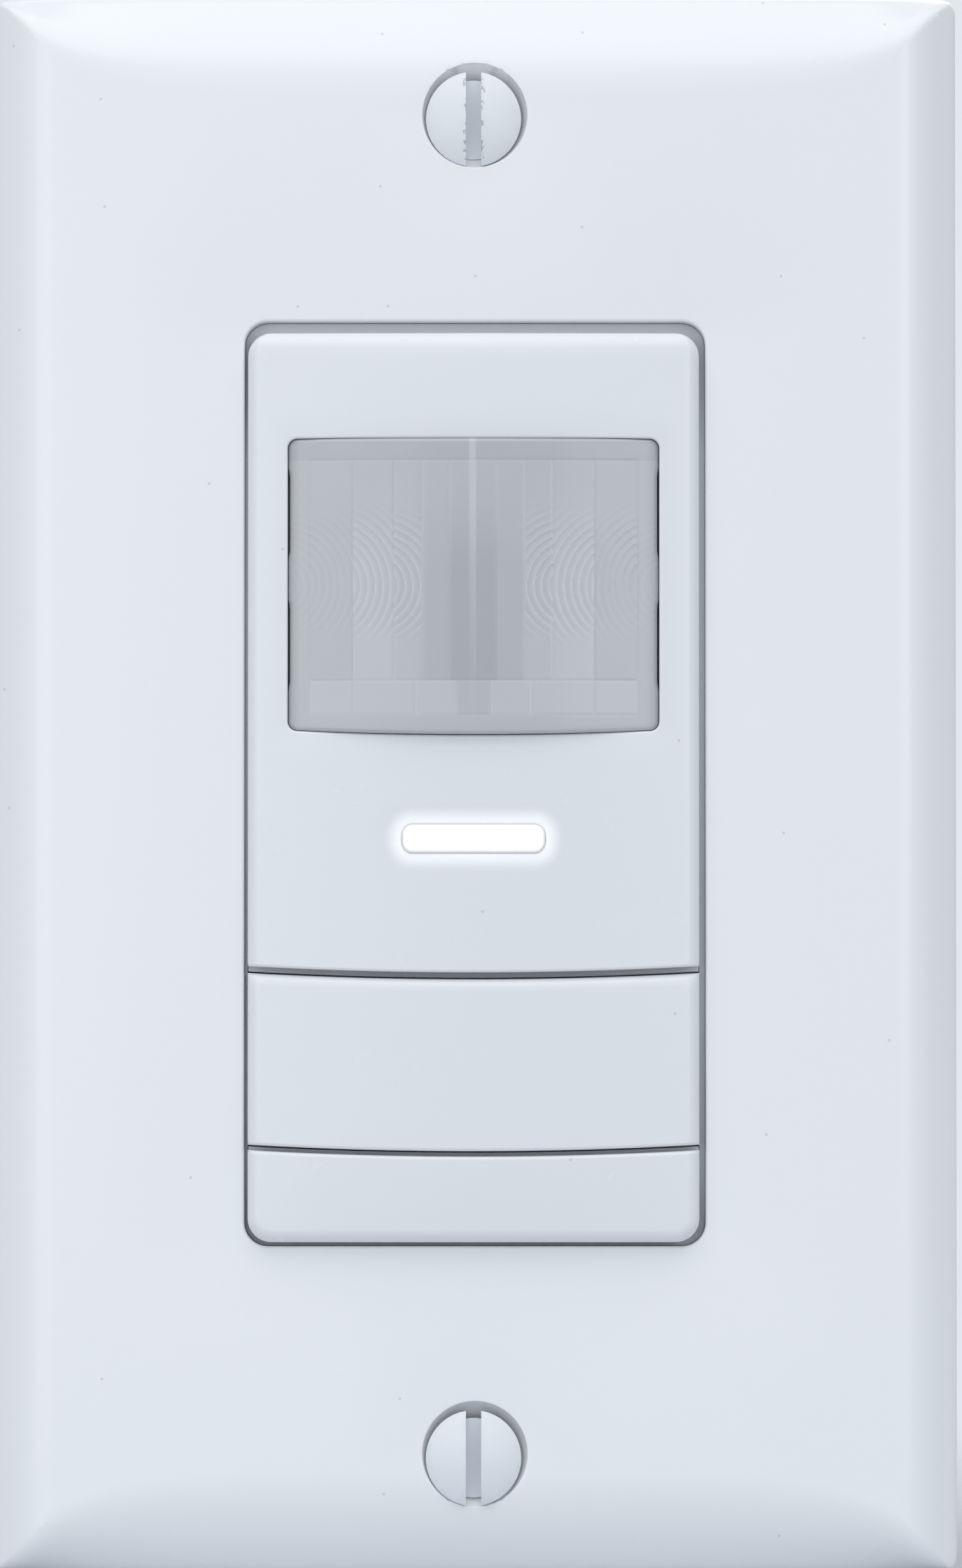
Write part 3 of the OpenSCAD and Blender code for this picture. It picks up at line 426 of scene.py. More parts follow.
def plated(name, rgb, rough=0.3, stretch=(1, 1, 8), stain=0.12):
    """Plated metal: fine drawn lines, cloudy staining and uneven gloss."""
    finish = Finish(name)
    lines = finish.noise(0.6, 4, stretch)
    cloud = finish.noise(5, 4)
    base = finish.mix(cloud.fade(0.35, 0.75), tinted(rgb, 1 - stain), rgb)
    finish.surface(Base_Color=base, Metallic=1.0, Roughness=rough + 0.2 * (lines - 0.4))
    return finish.relief(lines, 0.006)


# Shapes

# Angles in degrees from which an edge of a new piece stays sharp and one of a CAD node is softened
CREASE, SOFTENED = 38, 35
# Distance under which points count as one
WELD = 1e-6
# Share of its distance from a loop that a point of a ring keeps
CLOSEST = 0.97
# Kind of net that fills loops but not the holes in them, and how close its points may lie
INSIDE_WITHOUT_HOLES, NET_EPSILON = 2, 1e-9


class Skin:
    """A mesh that grows from loops of points. X and Z are its plan, Y is its depth."""

    def __init__(self):
        self.points = []
        self.faces = []

    def loop(self, plan, depth):
        """Adds points at one depth, or on a surface given as a function of x and z."""
        x, z = np.asarray(plan, float).T
        y = depth(x, z) if callable(depth) else np.full(len(x), depth)
        first = len(self.points)
        self.points.extend(zip(x, y, z))
        return range(first, first + len(x))

    def bridge(self, *loops):
        """Joins each loop to the next with a band of faces."""
        for near, far in zip(loops, loops[1:]):
            for i in range(len(near)):
                self.faces.append((near[i - 1], near[i], far[i], far[i - 1]))

    def cap(self, *loops):
        """Fills the flat area inside the first loop and outside the others."""
        order = [i for loop in loops for i in loop]
        flat = [[Vector((self.points[i][0], self.points[i][2], 0)) for i in loop]
                for loop in loops]
        self.faces.extend(tuple(order[i] for i in face) for face in tessellate_polygon(flat))

    def walls(self, loops, front, foot):
        """Adds walls on loops from a front to a foot closed by a cap, and returns their fronts."""
        tops = [self.loop(loop, front) for loop in loops]
        feet = [self.loop(loop, foot) for loop in loops]
        for top, base in zip(tops, feet):
            self.bridge(top, base)
        self.cap(*feet)
        return tops

    def field(self, loops, plan, depth):
        """Fills the area between loops with a net over the points of a plan, on a surface."""
        inner = self.loop(plan, depth)
        order = [i for loop in loops for i in loop] + list(inner)
        flat = [Vector((self.points[i][0], self.points[i][2])) for i in order]
        starts = np.cumsum([0] + [len(loop) for loop in loops])
        borders = [list(range(a, b)) for a, b in zip(starts, starts[1:])]
        net = delaunay_2d_cdt(flat, [], borders, INSIDE_WITHOUT_HOLES, NET_EPSILON)
        origin = [order[came[0]] for came in net[3]]
        self.faces.extend(tuple(origin[i] for i in face) for face in net[2])

    def net(self, across, up, depth):
        """Adds a net of squares on a surface, and returns the loop around it."""
        x, z = np.meshgrid(across, up)
        order = np.array(self.loop(np.stack([x.ravel(), z.ravel()], 1), depth)).reshape(x.shape)
        squares = (order[:-1, :-1], order[:-1, 1:], order[1:, 1:], order[1:, :-1])
        self.faces.extend(zip(*(points.ravel().tolist() for points in squares)))
        return [*order[0, :-1], *order[:-1, -1], *order[-1, :0:-1], *order[:0:-1, 0]]

    def add(self, other):
        """Takes in the points and faces of another skin."""
        first = len(self.points)
        self.points.extend(other.points)
        self.faces.extend(tuple(i + first for i in face) for face in other.faces)

    def piece(self, name, finish, rest=None):
        """Makes the object, joined to the rest of its mesh."""
        skin = bpy.data.meshes.new(name)
        skin.from_pydata(self.points, [], self.faces)
        whole = rest or bmesh.new()
        whole.from_mesh(skin)
        bmesh.ops.recalc_face_normals(whole, faces=whole.faces)
        whole.to_mesh(skin)
        whole.free()
        return add_object(name, skin, finish)


def add_object(name, mesh, finish):
    """Adds a smooth-shaded mesh with sharp creases to the scene."""
    mesh.shade_smooth()
    mesh.set_sharp_from_angle(angle=math.radians(CREASE))
    mesh.materials.append(finish.material)
    piece = bpy.data.objects.new(name, mesh)
    bpy.context.scene.collection.objects.link(piece)
    return piece


def settle(piece, body, node):
    """Makes a piece ride on a body and stand for a CAD node."""
    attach(piece, body)
    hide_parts(node)


def behind(node, depth):
    """The part of a CAD node behind a depth, closed by a flat cap."""
    mesh = bmesh.new()
    mesh.from_mesh(frame["nodes"][node].data)
    bmesh.ops.remove_doubles(mesh, verts=mesh.verts, dist=WELD)
    cut = bmesh.ops.bisect_plane(mesh, geom=[*mesh.verts, *mesh.edges, *mesh.faces],
                                 plane_co=(0, depth, 0), plane_no=(0, 1, 0), clear_inner=True)
    rim = [edge for edge in cut["geom_cut"] if isinstance(edge, bmesh.types.BMEdge)]
    bmesh.ops.triangle_fill(mesh, edges=rim, use_beauty=True)
    return mesh


def finish_node(node, material, edge=0):
    """Gives a CAD node its material and, where asked, softened edges."""
    piece = frame["nodes"][node]
    piece.material_slots[0].material = material
    if edge:
        piece.modifiers.new("weld", "WELD").merge_threshold = WELD
        bevel = piece.modifiers.new("soft edges", "BEVEL")
        bevel.width = edge
        bevel.segments = 2
        bevel.limit_method = "ANGLE"
        bevel.angle_limit = math.radians(SOFTENED)
        bevel.harden_normals = True


def run(start, end, step):
    """Points of a straight run, without its end."""
    start, end = np.asarray(start, float), np.asarray(end, float)
    count = max(int(np.linalg.norm(end - start) / step), 1)
    return start + (end - start) * (np.arange(count) / count)[:, None]


def corner(centre, r, start, steps):
    """Points of a quarter turn, anticlockwise from an angle in degrees, without its end."""
    turn = np.radians(start + 90 * np.arange(steps) / steps)
    return np.asarray(centre) + r * np.stack([np.cos(turn), np.sin(turn)], 1)


def level(x):
    """The rise of a straight edge."""
    return 0 * x


def outline(half_w, bottom, top, r_bottom, r_top, step, base_rise=level, roof_rise=level):
    """A rounded outline, anticlockwise, whose bottom and top may rise towards the sides."""
    steps = 8
    low, high = half_w - r_bottom, half_w - r_top
    foot, head = bottom + base_rise(low) + r_bottom, top + roof_rise(high) - r_top
    base = run((-low, 0), (low, 0), step)
    roof = run((high, 0), (-high, 0), step)
    base[:, 1] = bottom + base_rise(base[:, 0])
    roof[:, 1] = top + roof_rise(roof[:, 0])
    return np.concatenate([
        base, corner((low, foot), r_bottom, -90, steps), run((half_w, foot), (half_w, head), step),
        corner((high, head), r_top, 0, steps), roof, corner((-high, head), r_top, 90, steps),
        run((-half_w, head), (-half_w, foot), step), corner((-low, foot), r_bottom, 180, steps)])


def rounded(half_w, half_h, r, step):
    """A rounded rectangle around the middle, anticlockwise."""
    return outline(half_w, -half_h, half_h, r, r, step)


def circle(centre, r, steps):
    """A circle, anticlockwise."""
    return np.concatenate([corner(centre, r, start, steps) for start in (0, 90, 180, 270)])


def nearest(points, loop):
    """Distance from each point to the closest point of a loop."""
    return np.min(np.hypot(*(points[:, None] - loop[None]).transpose(2, 0, 1)), 1)


def loop_gap(x, z, loop):
    """Distance from places given by x and z to the closest point of a loop."""
    return nearest(np.stack([x, z], 1), loop)


def rings(loop, reaches, inwards=1):
    """Copies of a loop set in by several distances, without points that cross over."""
    ahead = np.roll(loop, -1, 0) - np.roll(loop, 1, 0)
    normal = np.stack([-ahead[:, 1], ahead[:, 0]], 1) * inwards
    normal /= np.linalg.norm(normal, axis=1)[:, None]
    made = [loop + normal * reach for reach in reaches]
    return np.concatenate([ring[nearest(ring, loop) > CLOSEST * reach]
                           for ring, reach in zip(made, reaches)])


def edge_rings(r, steps=6):
    """Distances of the rings that carry a rounded edge."""
    turn = np.linspace(0, math.pi / 2, steps + 1)[1:]
    return r * (1 - np.cos(turn))


def grid(loops, x_end, z_end, step, keep):
    """Grid points that keep a distance from loops."""
    x, z = np.meshgrid(np.arange(-x_end, x_end, step), np.arange(z_end[0], z_end[1], step))
    points = np.stack([x.ravel(), z.ravel()], 1)
    for loop in loops:
        points = points[nearest(points, loop) > keep]
    return points


def round_drop(gap, r, width=None):
    """Depth lost on a rounded edge of radius r, or stretched to a width, away from that edge."""
    far = np.clip(1 - gap / (width or r), 0, 1)
    return r * (1 - np.sqrt(1 - far * far))


def roll_drop(gap, width, drop, bend):
    """Depth lost on an edge that bends and then falls straight, by a drop over a width."""
    far = np.clip(width - gap, 0, width)
    bent = np.minimum(far, bend)
    return drop / (width - bend / 2) * (bent * bent / (2 * bend) + far - bent)


def box_gap(x, z, half_w, half_h, r):
    """Distance inside a rounded rectangle, negative outside it."""
    dx, dz = np.abs(x) - half_w + r, np.abs(z) - half_h + r
    outside = np.hypot(np.maximum(dx, 0), np.maximum(dz, 0))
    return r - outside - np.minimum(np.maximum(dx, dz), 0)


def bow_drop(x, r):
    """Depth lost by a bow of radius r."""
    return r - np.sqrt(r * r - x * x)


# Wall plate and its screws

# How softly the rolled edges of the plate meet at its corners, and the least share of their
# width that the end rolls keep there
PILLOW, NARROWEST = 2.2, 0.05
# Spacing of points along the border, the opening and the cavity, and the least corner radius
BORDER_STEP, OPENING_STEP, CAVITY_STEP, LEAST_R = 0.8 * MM, 0.7 * MM, 1.5 * MM, 0.2 * MM
# Rings of points over a rolled edge, and points on a quarter of a screw hole
ROLL_RINGS, HOLE_STEPS = 18, 16
# Paint worn off the screws, in millimetres: where it ends and is full beside the slot, and how
# far forward a place has to be
WORN_BESIDE, WORN_FRONT = (1.3, 0.6), -5.8
SCREW_EDGE = 0.07 * MM


class SWITCH_OT_wall_plate(Operator):
    """Build the wall plate with rolled edges, its opening and countersunk holes"""

    bl_idname = "switch.wall_plate"
    bl_label = "Wall Plate"

    def execute(self, context):
        plate = context.scene.switch_plate
        low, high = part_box("wallplate")
        middle = np.array([(low.x + high.x) / 2, (low.z + high.z) / 2])
        half_w, half_h = (high.x - low.x) / 2, (high.z - low.z) / 2
        open_w, open_h = plate.opening_w / 2, plate.opening_h / 2
        holes = [np.array([0, side * plate.screw_spacing / 2]) for side in (-1, 1)]
        inside = low.y + plate.wall

        def front(x, z):
            """Depth of the plate's front around its own middle."""
            fall, inset = -low.y - plate.rim, half_w - np.abs(x)
            widened = np.maximum(1 - np.exp(-inset / plate.taper), NARROWEST)
            side = roll_drop(inset, plate.roll_side, fall, plate.bend_side)
            end = roll_drop((half_h - np.abs(z)) / widened, plate.roll_end, fall, plate.bend_end)
            drop = (side ** PILLOW + end ** PILLOW) ** (1 / PILLOW)
            drop += round_drop(box_gap(x, z, half_w, half_h, plate.corner_r), plate.rim_edge)
            drop += round_drop(-box_gap(x, z, open_w, open_h, plate.opening_r), plate.opening_edge)
            for hole in holes:
                reach = np.hypot(x - hole[0], z - hole[1]) - plate.sink_r
                drop += round_drop(reach, plate.hole_edge)
            return low.y + drop

        skin = Skin()
        border = rounded(half_w, half_h, plate.corner_r, BORDER_STEP)
        opening = rounded(open_w, open_h, plate.opening_r, OPENING_STEP)
        sinks = [circle(hole, plate.sink_r, HOLE_STEPS) for hole in holes]
        plan = [rings(opening, edge_rings(plate.opening_edge), -1)]
        plan += [rings(sink, edge_rings(plate.hole_edge), -1) for sink in sinks]
        over_roll = np.linspace(plate.rim_edge, plate.roll_end, ROLL_RINGS)[1:]
        for inset in (*edge_rings(plate.rim_edge, steps=4), *over_roll):
            r = max(plate.corner_r - inset, LEAST_R)
            plan.append(rounded(half_w - inset, half_h - inset, r, BORDER_STEP))
        edge, mouth = skin.loop(border, front), skin.loop(opening, front)
        throats = [skin.loop(sink, front) for sink in sinks]
        skin.field([edge, mouth, *throats], np.concatenate(plan), front)

        cavity = rounded(half_w - plate.wall, half_h - plate.end_wall, plate.corner_r,
                         CAVITY_STEP)
        foot, rim = skin.loop(border, high.y), skin.loop(cavity, high.y)
        skin.bridge(edge, foot)
        skin.cap(foot, rim)
        ceiling, well = skin.loop(cavity, inside), skin.loop(opening, inside)
        skin.bridge(rim, ceiling)
        skin.bridge(mouth, well)
        ends = []
        for hole, throat in zip(holes, throats):
            bore = circle(hole, plate.hole_r, HOLE_STEPS)
            ends.append(skin.loop(bore, inside))
            skin.bridge(throat, skin.loop(bore, low.y + plate.sink_depth), ends[-1])
        skin.cap(ceiling, well, *ends)
        skin.points = [(x + middle[0], y, z + middle[1]) for x, y, z in skin.points]
        finish = white_plastic("white_plate", plate.white, rough=0.26, dust=0.3)
        settle(skin.piece("plate_shell", finish), "device", "wallplate")
        return {"FINISHED"}


class SWITCH_OT_plate_screws(Operator):
    """Paint the two screws of the wall plate, with wear beside the slot of the upper one"""

    bl_idname = "switch.plate_screws"
    bl_label = "Plate Screws"

    def execute(self, context):
        plate = context.scene.switch_plate
        finish = Finish("white_screw")
        scuffs = finish.noise(0.3, 4, (1, 1, 0.6))
        upper = (finish.z > 0) * (finish.y < WORN_FRONT)
        worn = (scuffs * abs(finish.x).fade(*WORN_BESIDE) * upper).fade(0.5, 0.56)
        paint = finish.mix(finish.noise(1.2, 3), tinted(plate.paint, 0.97), plate.paint)
        finish.surface(Base_Color=finish.mix(worn, paint, plate.bare), Metallic=worn * 0.6,
                       Roughness=0.38 + 0.15 * finish.noise(0.8, 3))
        finish.relief(finish.noise(0.6, 3) - 0.6 * worn, 0.012)
        finish_node("wallplate_screws", finish.material, SCREW_EDGE)
        return {"FINISHED"}


# Face, button, lens and light bar

# Spacing of points along the borders of the face and the lens, of those within the face, along
# the ribs and along the light bar
FACE_STEP, FIELD_STEP, RIB_STEP, BAR_STEP = 0.35 * MM, 0.8 * MM, 1 * MM, 0.2 * MM
# Distance of the points within the face from its rounded edges
FIELD_MARGIN = 0.3 * MM
# Least corner radius of the lens window
WINDOW_R = 0.1 * MM
# Share of the bar's glow that is painted on the face beside the bar as emission, and share that
# the bar's rim keeps, and the distances from the slot, in millimetres, between which the rim loses
# it
FACE_PAINTED_GLOW, RIM_GLOW, RIM_FADE = 0.25, 0.06, (-0.45, -0.03)


class FaceShape:
    """Places of the face's seams and openings, and the depth of its bowed front."""

    def __init__(self, scene):
        self.face, self.lens, self.bar = scene.switch_face, scene.switch_lens, scene.switch_bar
        self.half_w, self.half_h = self.face.width / 2, self.face.height / 2
        self.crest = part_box("push_button")[0].y
        self.strip_top = self.face.strip_h - self.half_h
        self.button_foot = self.strip_top + self.face.gap_below
        self.button_top = self.button_foot + self.face.button_h
        self.panel_foot = self.button_top + self.face.gap_above
        self.window_w = self.half_w - self.lens.side_margin
        self.window_top = self.half_h - self.lens.top_margin
        self.window_foot = self.window_top - self.lens.height
        self.window_z = (self.window_top + self.window_foot) / 2
        self.bar_z = self.window_foot - self.bar.drop

    def sag(self, x):
        """Rise of a curved seam towards the sides."""
        return bow_drop(x, self.face.seam_r)

    def front(self, x, z):
        """Depth of the whole face, bowed and rounded at its border."""
        face = self.face
        edge = round_drop(box_gap(x, z, self.half_w, self.half_h, face.corner_r), face.edge_r)
        top = round_drop(self.half_h - z, face.edge_r, face.top_w)
        end = roll_drop(self.half_h - np.abs(z), face.end_w, face.end_drop, face.end_w)
        end = end * (1 - (x / self.half_w) ** 2)
        return self.crest + bow_drop(x, face.bow_r) + end + np.maximum(edge, top)

    def window(self, inset, step):
        """Outline of the lens window, set in by a distance."""
        r = max(self.lens.corner_r - inset, WINDOW_R)
        return outline(self.window_w - inset, self.window_foot + inset,
                       self.window_top - inset, r, r, step, self.sag)

    def slot(self, inset, step):
        """Outline of the light bar's slot, set in by a distance."""
        r = self.bar.corner_r - inset
        half = self.bar.height / 2 - inset
        return outline(self.bar.width / 2 - inset, self.bar_z - half, self.bar_z + half,
                       r, r, step)

    def bar_gap(self, finish):
        """Distance outside the light bar's slot in a finish, in millimetres."""
        bar, r = self.bar, self.bar.corner_r / MM
        over = (abs(finish.x) - (bar.width / 2 / MM - r)).at_least(0)
        above = (abs(finish.z - self.bar_z / MM) - (bar.height / 2 / MM - r)).at_least(0)
        return (over ** 2 + above ** 2) ** 0.5 - r

    def skin(self, border, seams, holes, foot):
        """A piece of the face: its border, rounded seams, holes, and the depth of its foot."""
        edge = self.face.window_edge

        def surface(x, z):
            depth = self.front(x, z)
            for seam, side, r, width in seams:
                depth = depth + round_drop(side * (z - seam - self.sag(x)), r, width)
            for hole in holes:
                depth = depth + round_drop(loop_gap(x, z, hole), edge)
            return depth

        reaches = np.unique(np.concatenate(
            [edge_rings(self.face.edge_r, steps=8), edge_rings(self.face.top_w)]
            + [edge_rings(width) for *_, width in seams]))
        plan = [rings(border, reaches)] + [rings(hole, edge_rings(edge), -1) for hole in holes]
        ends = border[:, 1].min(), border[:, 1].max()
        inner = grid([border, *holes], self.half_w, ends, FIELD_STEP,
                     self.face.top_w + FIELD_MARGIN)
        for hole in holes:
            low, high = hole.min(0), hole.max(0)
            inner = inner[~np.all((inner > low) & (inner < high), 1)]
        made = Skin()
        tops = made.walls([border, *holes], surface, foot)
        made.field(tops, np.concatenate([*plan, inner]), surface)
        return made


def rib_skin(loops, front, foot):
    """An upright rib inside the first loop and outside the others."""
    made = Skin()
    made.cap(*made.walls(loops, front, foot))
    return made


def face_ribs(shape, plate):
    """Thin ribs on the flange, which fill the gaps around the face and behind the seams."""
    face, gap = shape.face, shape.face.rib_gap
    low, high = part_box("wallplate")
    outer = rounded(plate.opening_w / 2 - gap, plate.opening_h / 2 - gap, plate.opening_r - gap,
                    RIB_STEP)
    outer += ((low.x + high.x) / 2, (low.z + high.z) / 2)
    inner = rounded(shape.half_w + gap, shape.half_h + gap, face.corner_r + gap, RIB_STEP)

    def front(x, z):
        end = shape.half_h - face.corner_r
        return np.interp(np.abs(z), (end - face.rib_slope, end), (face.rib, face.rib_end))

    made = rib_skin([outer, inner], front, face.rib_foot)
    for foot, top in ((shape.button_top + face.seam_gap, shape.panel_foot + gap),
                      (shape.strip_top - gap, shape.button_foot - face.seam_gap)):
        seam = outline(shape.half_w - gap, foot, top, gap, gap, RIB_STEP, shape.sag, shape.sag)
        made.add(rib_skin([seam], face.seam_rib, face.rib_foot))
    return made


def face_finish(shape):
    """Satin white plastic with a painted glow around the lit bar, given as emission on the face
    itself.
    """
    face, bar = shape.face, shape.bar
    finish = white_plastic("white_face", face.white, rough=0.27, dust=0.12)
    # Painted glow: the face emits light near the bar, standing in for light from the bar
    painted_halo = shape.bar_gap(finish).fade(bar.painted_halo / MM, 0)
    glow = finish.mix(painted_halo, (0, 0, 0), tinted(bar.glow, FACE_PAINTED_GLOW))
    return finish.surface(Emission_Color=glow, Emission_Strength=1.0)


class SWITCH_OT_face(Operator):
    """Build the bowed panel with its strip, and the push button"""

    bl_idname = "switch.face"
    bl_label = "Face and Button"

    def execute(self, context):
        shape = FaceShape(context.scene)
        face, step = shape.face, FACE_STEP
        finish = face_finish(shape)
        sag, small, r = shape.sag, face.seam_corner, face.corner_r
        panel = outline(shape.half_w, shape.panel_foot, shape.half_h, small, r, step, sag, level)
        button = outline(shape.half_w, shape.button_foot, shape.button_top, small, small, step,
                         sag, sag)
        strip = outline(shape.half_w, -shape.half_h, shape.strip_top, r, small, step, level, sag)
        cover = shape.skin(panel, [(shape.panel_foot, 1, face.panel_edge, face.panel_edge)],
                           [shape.window(0, step), shape.slot(0, step)], face.cover_cut)
        cover.add(shape.skin(strip, [(shape.strip_top, -1, face.strip_edge, face.strip_edge)], [],
                             face.cover_cut))
        cover.add(face_ribs(shape, context.scene.switch_plate))
        cap = shape.skin(button, [(shape.button_top, -1, face.button_edge, face.button_top),
                                  (shape.button_foot, 1, face.button_foot, face.button_foot)],
                         [], face.button_cut)
        for skin, name, node, cut in ((cover, "face_panel", "front_cover", face.cover_cut),
                                      (cap, "button_cap", "push_button", face.button_cut)):
            piece = skin.piece(name, finish, behind(node, cut))
            settle(piece, frame["nodes"][node]["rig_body"], node)
        return {"FINISHED"}


# Segments of the lens in millimetres from its middle: sides of the tall columns, sides of
# the low row, and the heights of the field and of the row
COLUMNS = (0, 1.75, 3.72, 5.72, 8.67, 11.8)
ROW_COLUMNS = (1.24, 4.21, 8.67)
FIELD_TOP, ROW_TOP, ROW_FOOT = 9.1, -6.8, -9.3
# Stretches of the sides where the lens stands clear of its window, the length of their ends, and
# how near to a side a point has to be
CLEAR, CLEAR_END, CLEAR_NEAR = ((-7.4, -1.0), (2.1, 8.5)), 0.4, 0.01
# Columns with round grooves, from a side outwards, and the side where each set is centred
GROOVES = ((3.72, 7.1), (5.72, 10.9), (8.67, 13.9))
# Heights between which the grooves come in at their foot and go out at their top
GROOVE_FOOT, GROOVE_TOP = (-4.5, -2), (3.5, 6.5)
# Half the width of the lines between segments, and how far they reach past the columns
LINE_HALF, LINE_PAST = 0.11, 0.1
# Tones from milk at 0 to shade at 1: the field, what lies inside each column, the low row and
# its middle, and the bands beside the columns, above the field and below the row; the band above
# the field is painted shade where the lens's top border slopes back
FIELD_TONE, COLUMN_TONES = 0.36, (0.27, 0.25, 0.13, -0.2)
ROW_TONE, ROW_MIDDLE = 0.14, 0.28
BESIDE_TONE, ABOVE_SHADE, BELOW_TONE = 0.35, 0.58, 0.36
# Heights between which the columns' tones come in, and the painted shade along the lens's sides
# beside its window
COLUMN_FADE, SIDE_SHADE_FADE, SIDE_SHADE = (8.5, 0), (12.4, 13.2), 0.5
# Painted highlight up the middle, a pale line where a reflection runs down the lens's crest: its
# place, its edge, and the heights between which it comes in
HIGHLIGHT_X, HIGHLIGHT_EDGE, HIGHLIGHT_RISE = -0.07, (0.34, 0.12), (-12, 10)
# How strongly the grooves, the cloudiness and the painted highlight show, and what the outer
# grooves lack
ARC_TONE, CLOUD_TONE, HIGHLIGHT_TONE, OUTER_LACK = 0.5, 0.15, 0.5, 0.7
# Columns and rows of points in the net over the segments, its foot, and its margin elsewhere
NET_COLUMNS, NET_ROWS, NET_FOOT, NET_MARGIN = 260, 206, -9.8, 0.3
# Spacing of points on the back of the lens, and their distance from its border
BACK_STEP, BACK_MARGIN = 1.2 * MM, 0.6 * MM


def lens_border(shape, inset):
    """Outline of the lens, which stands clear of its window along parts of its sides."""
    loop = shape.window(inset, FACE_STEP)
    high = (loop[:, 1] - shape.window_z) / MM
    clear = sum(np.clip(np.minimum(high - low, top - high) / CLEAR_END, 0, 1)
                for low, top in CLEAR)
    beside = np.abs(loop[:, 0]) > shape.window_w - inset - CLEAR_NEAR * MM
    loop[:, 0] -= np.sign(loop[:, 0]) * shape.lens.clear * clear * beside
    return loop


def lens_relief(u, v, lens):
    """Depth of the lens's segment lines and round grooves, u and v from its middle."""
    side, high = np.abs(u) / MM, v / MM

    def lines(place, marks):
        """Lines at marks, 1 on a line and 0 between them."""
        return np.max([np.clip(1 - np.abs(place - mark) / LINE_HALF, 0, 1) for mark in marks], 0)

    within = side < COLUMNS[-1] + LINE_PAST
    ridges = np.max([
        lines(side, COLUMNS) * ((high > ROW_TOP) & (high < FIELD_TOP) & within),
        lines(side, ROW_COLUMNS) * ((high < ROW_TOP) & (high > ROW_FOOT) & within),
        lines(high, (FIELD_TOP, ROW_TOP, ROW_FOOT)) * (side < COLUMNS[-1])], 0)
    starts, centres = zip(*GROOVES)
    centre = np.take(centres, np.clip(np.searchsorted(starts, side) - 1, 0, None))
    reach = np.hypot(side - centre, high) * MM / lens.groove
    fade = np.interp(high, (*GROOVE_FOOT, *GROOVE_TOP), (0, 1, 1, 0))
    grooves = (reach % 1) * fade * (side > starts[0]) * (side < COLUMNS[-1])
    return lens.ridge * ridges + lens.groove_depth * grooves


def lens_finish(shape):
    """Milky plastic, darker in its middle columns and paler in its low row, with painted shade on
    its top border and its sides and a painted highlight up its middle.
    """
    lens = shape.lens
    finish = Finish("milky_lens")
    side = abs(finish.x)
    high = finish.z - shape.window_z / MM
    columns = sum(change * (side < column) for column, change in zip(COLUMNS[1:], COLUMN_TONES))
    tone = FIELD_TONE + columns * high.fade(*COLUMN_FADE)
    row_tone = ROW_TONE + ROW_MIDDLE * (side < ROW_COLUMNS[0])
    # The band above the field takes painted shade, where the lens's top border slopes back
    for band, shade in ((high < ROW_TOP, row_tone), (side > COLUMNS[-1], BESIDE_TONE),
                        (high > FIELD_TOP, ABOVE_SHADE), (high < ROW_FOOT, BELOW_TONE)):
        tone = tone + band * (shade - tone)
    # Painted shade along the lens's sides, next to the gap at its window
    tone = tone + SIDE_SHADE * side.fade(*SIDE_SHADE_FADE)
    centre = GROOVES[0][1]
    for (_, before), (start, after) in zip(GROOVES, GROOVES[1:]):
        centre = centre + (after - before) * (side > start)
    reach = ((side - centre) ** 2 + high ** 2) ** 0.5 / (lens.groove / MM)
    arcs = (reach.fract() - 0.5) * high.fade(*reversed(GROOVE_TOP)) * high.fade(*GROOVE_FOOT)
    arcs = arcs * (side > GROOVES[0][0]) * (1 - OUTER_LACK * (side > GROOVES[2][0]))
    # Painted highlight: a pale line of reflection up the middle of the lens
    painted_highlight = abs(finish.x - HIGHLIGHT_X).fade(*HIGHLIGHT_EDGE) * high.fade(*HIGHLIGHT_RISE)
    cloud = finish.noise(5, 3) - 0.5
    dark = (tone + ARC_TONE * arcs + CLOUD_TONE * cloud - HIGHLIGHT_TONE * painted_highlight).at_least(0)
    rough = 0.3 + 0.1 * finish.noise(1.5, 3)
    finish.surface(Base_Color=finish.mix(dark, lens.milk, lens.shade), Roughness=rough)
    finish.surface(Coat_Weight=0.25, Coat_Roughness=0.12)
    return finish.relief(finish.noise(0.4, 3), 0.002)


class SWITCH_OT_lens(Operator):
    """Build the milky lens with its segments and round grooves"""

    bl_idname = "switch.lens"
    bl_label = "Lens"

    def execute(self, context):
        shape = FaceShape(context.scene)
        lens = shape.lens
        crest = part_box("fresnel_lens")[0].y
        border = lens_border(shape, lens.gap)
        inner = shape.window(lens.gap + lens.side_wall, FACE_STEP)

        def surface(x, z):
            return (crest + bow_drop(x, lens.bow_r)
                    + round_drop(loop_gap(x, z, border), lens.edge_r)
                    + lens_relief(x, z - shape.window_z, lens))

        def inside(x, z):
            return crest + lens.wall + bow_drop(x, lens.bow_r)

        skin = Skin()
        reach, top = (COLUMNS[-1] + NET_MARGIN) * MM, (FIELD_TOP + NET_MARGIN) * MM
        across = np.linspace(-reach, reach, NET_COLUMNS)
        up = np.linspace(NET_FOOT * MM, top, NET_ROWS) + shape.window_z
        around = skin.net(across, up, surface)
        edge = skin.loop(border, surface)
        skin.field([edge, around], rings(border, edge_rings(lens.edge_r)), surface)
        foot, step = skin.loop(border, lens.foot), skin.loop(inner, lens.foot)
        roof = skin.loop(inner, inside)
        skin.bridge(edge, foot)
        skin.cap(foot, step)
        skin.bridge(step, roof)
        low, high = inner.min(0), inner.max(0)
        back = grid([inner], high[0], (low[1], high[1]), BACK_STEP, BACK_MARGIN)
        back = back[np.all((back > low) & (back < high), 1)]
        skin.field([roof], back, inside)
        piece = skin.piece("lens_dome", lens_finish(shape), behind("fresnel_lens", lens.foot))
        settle(piece, "device", "fresnel_lens")
        return {"FINISHED"}


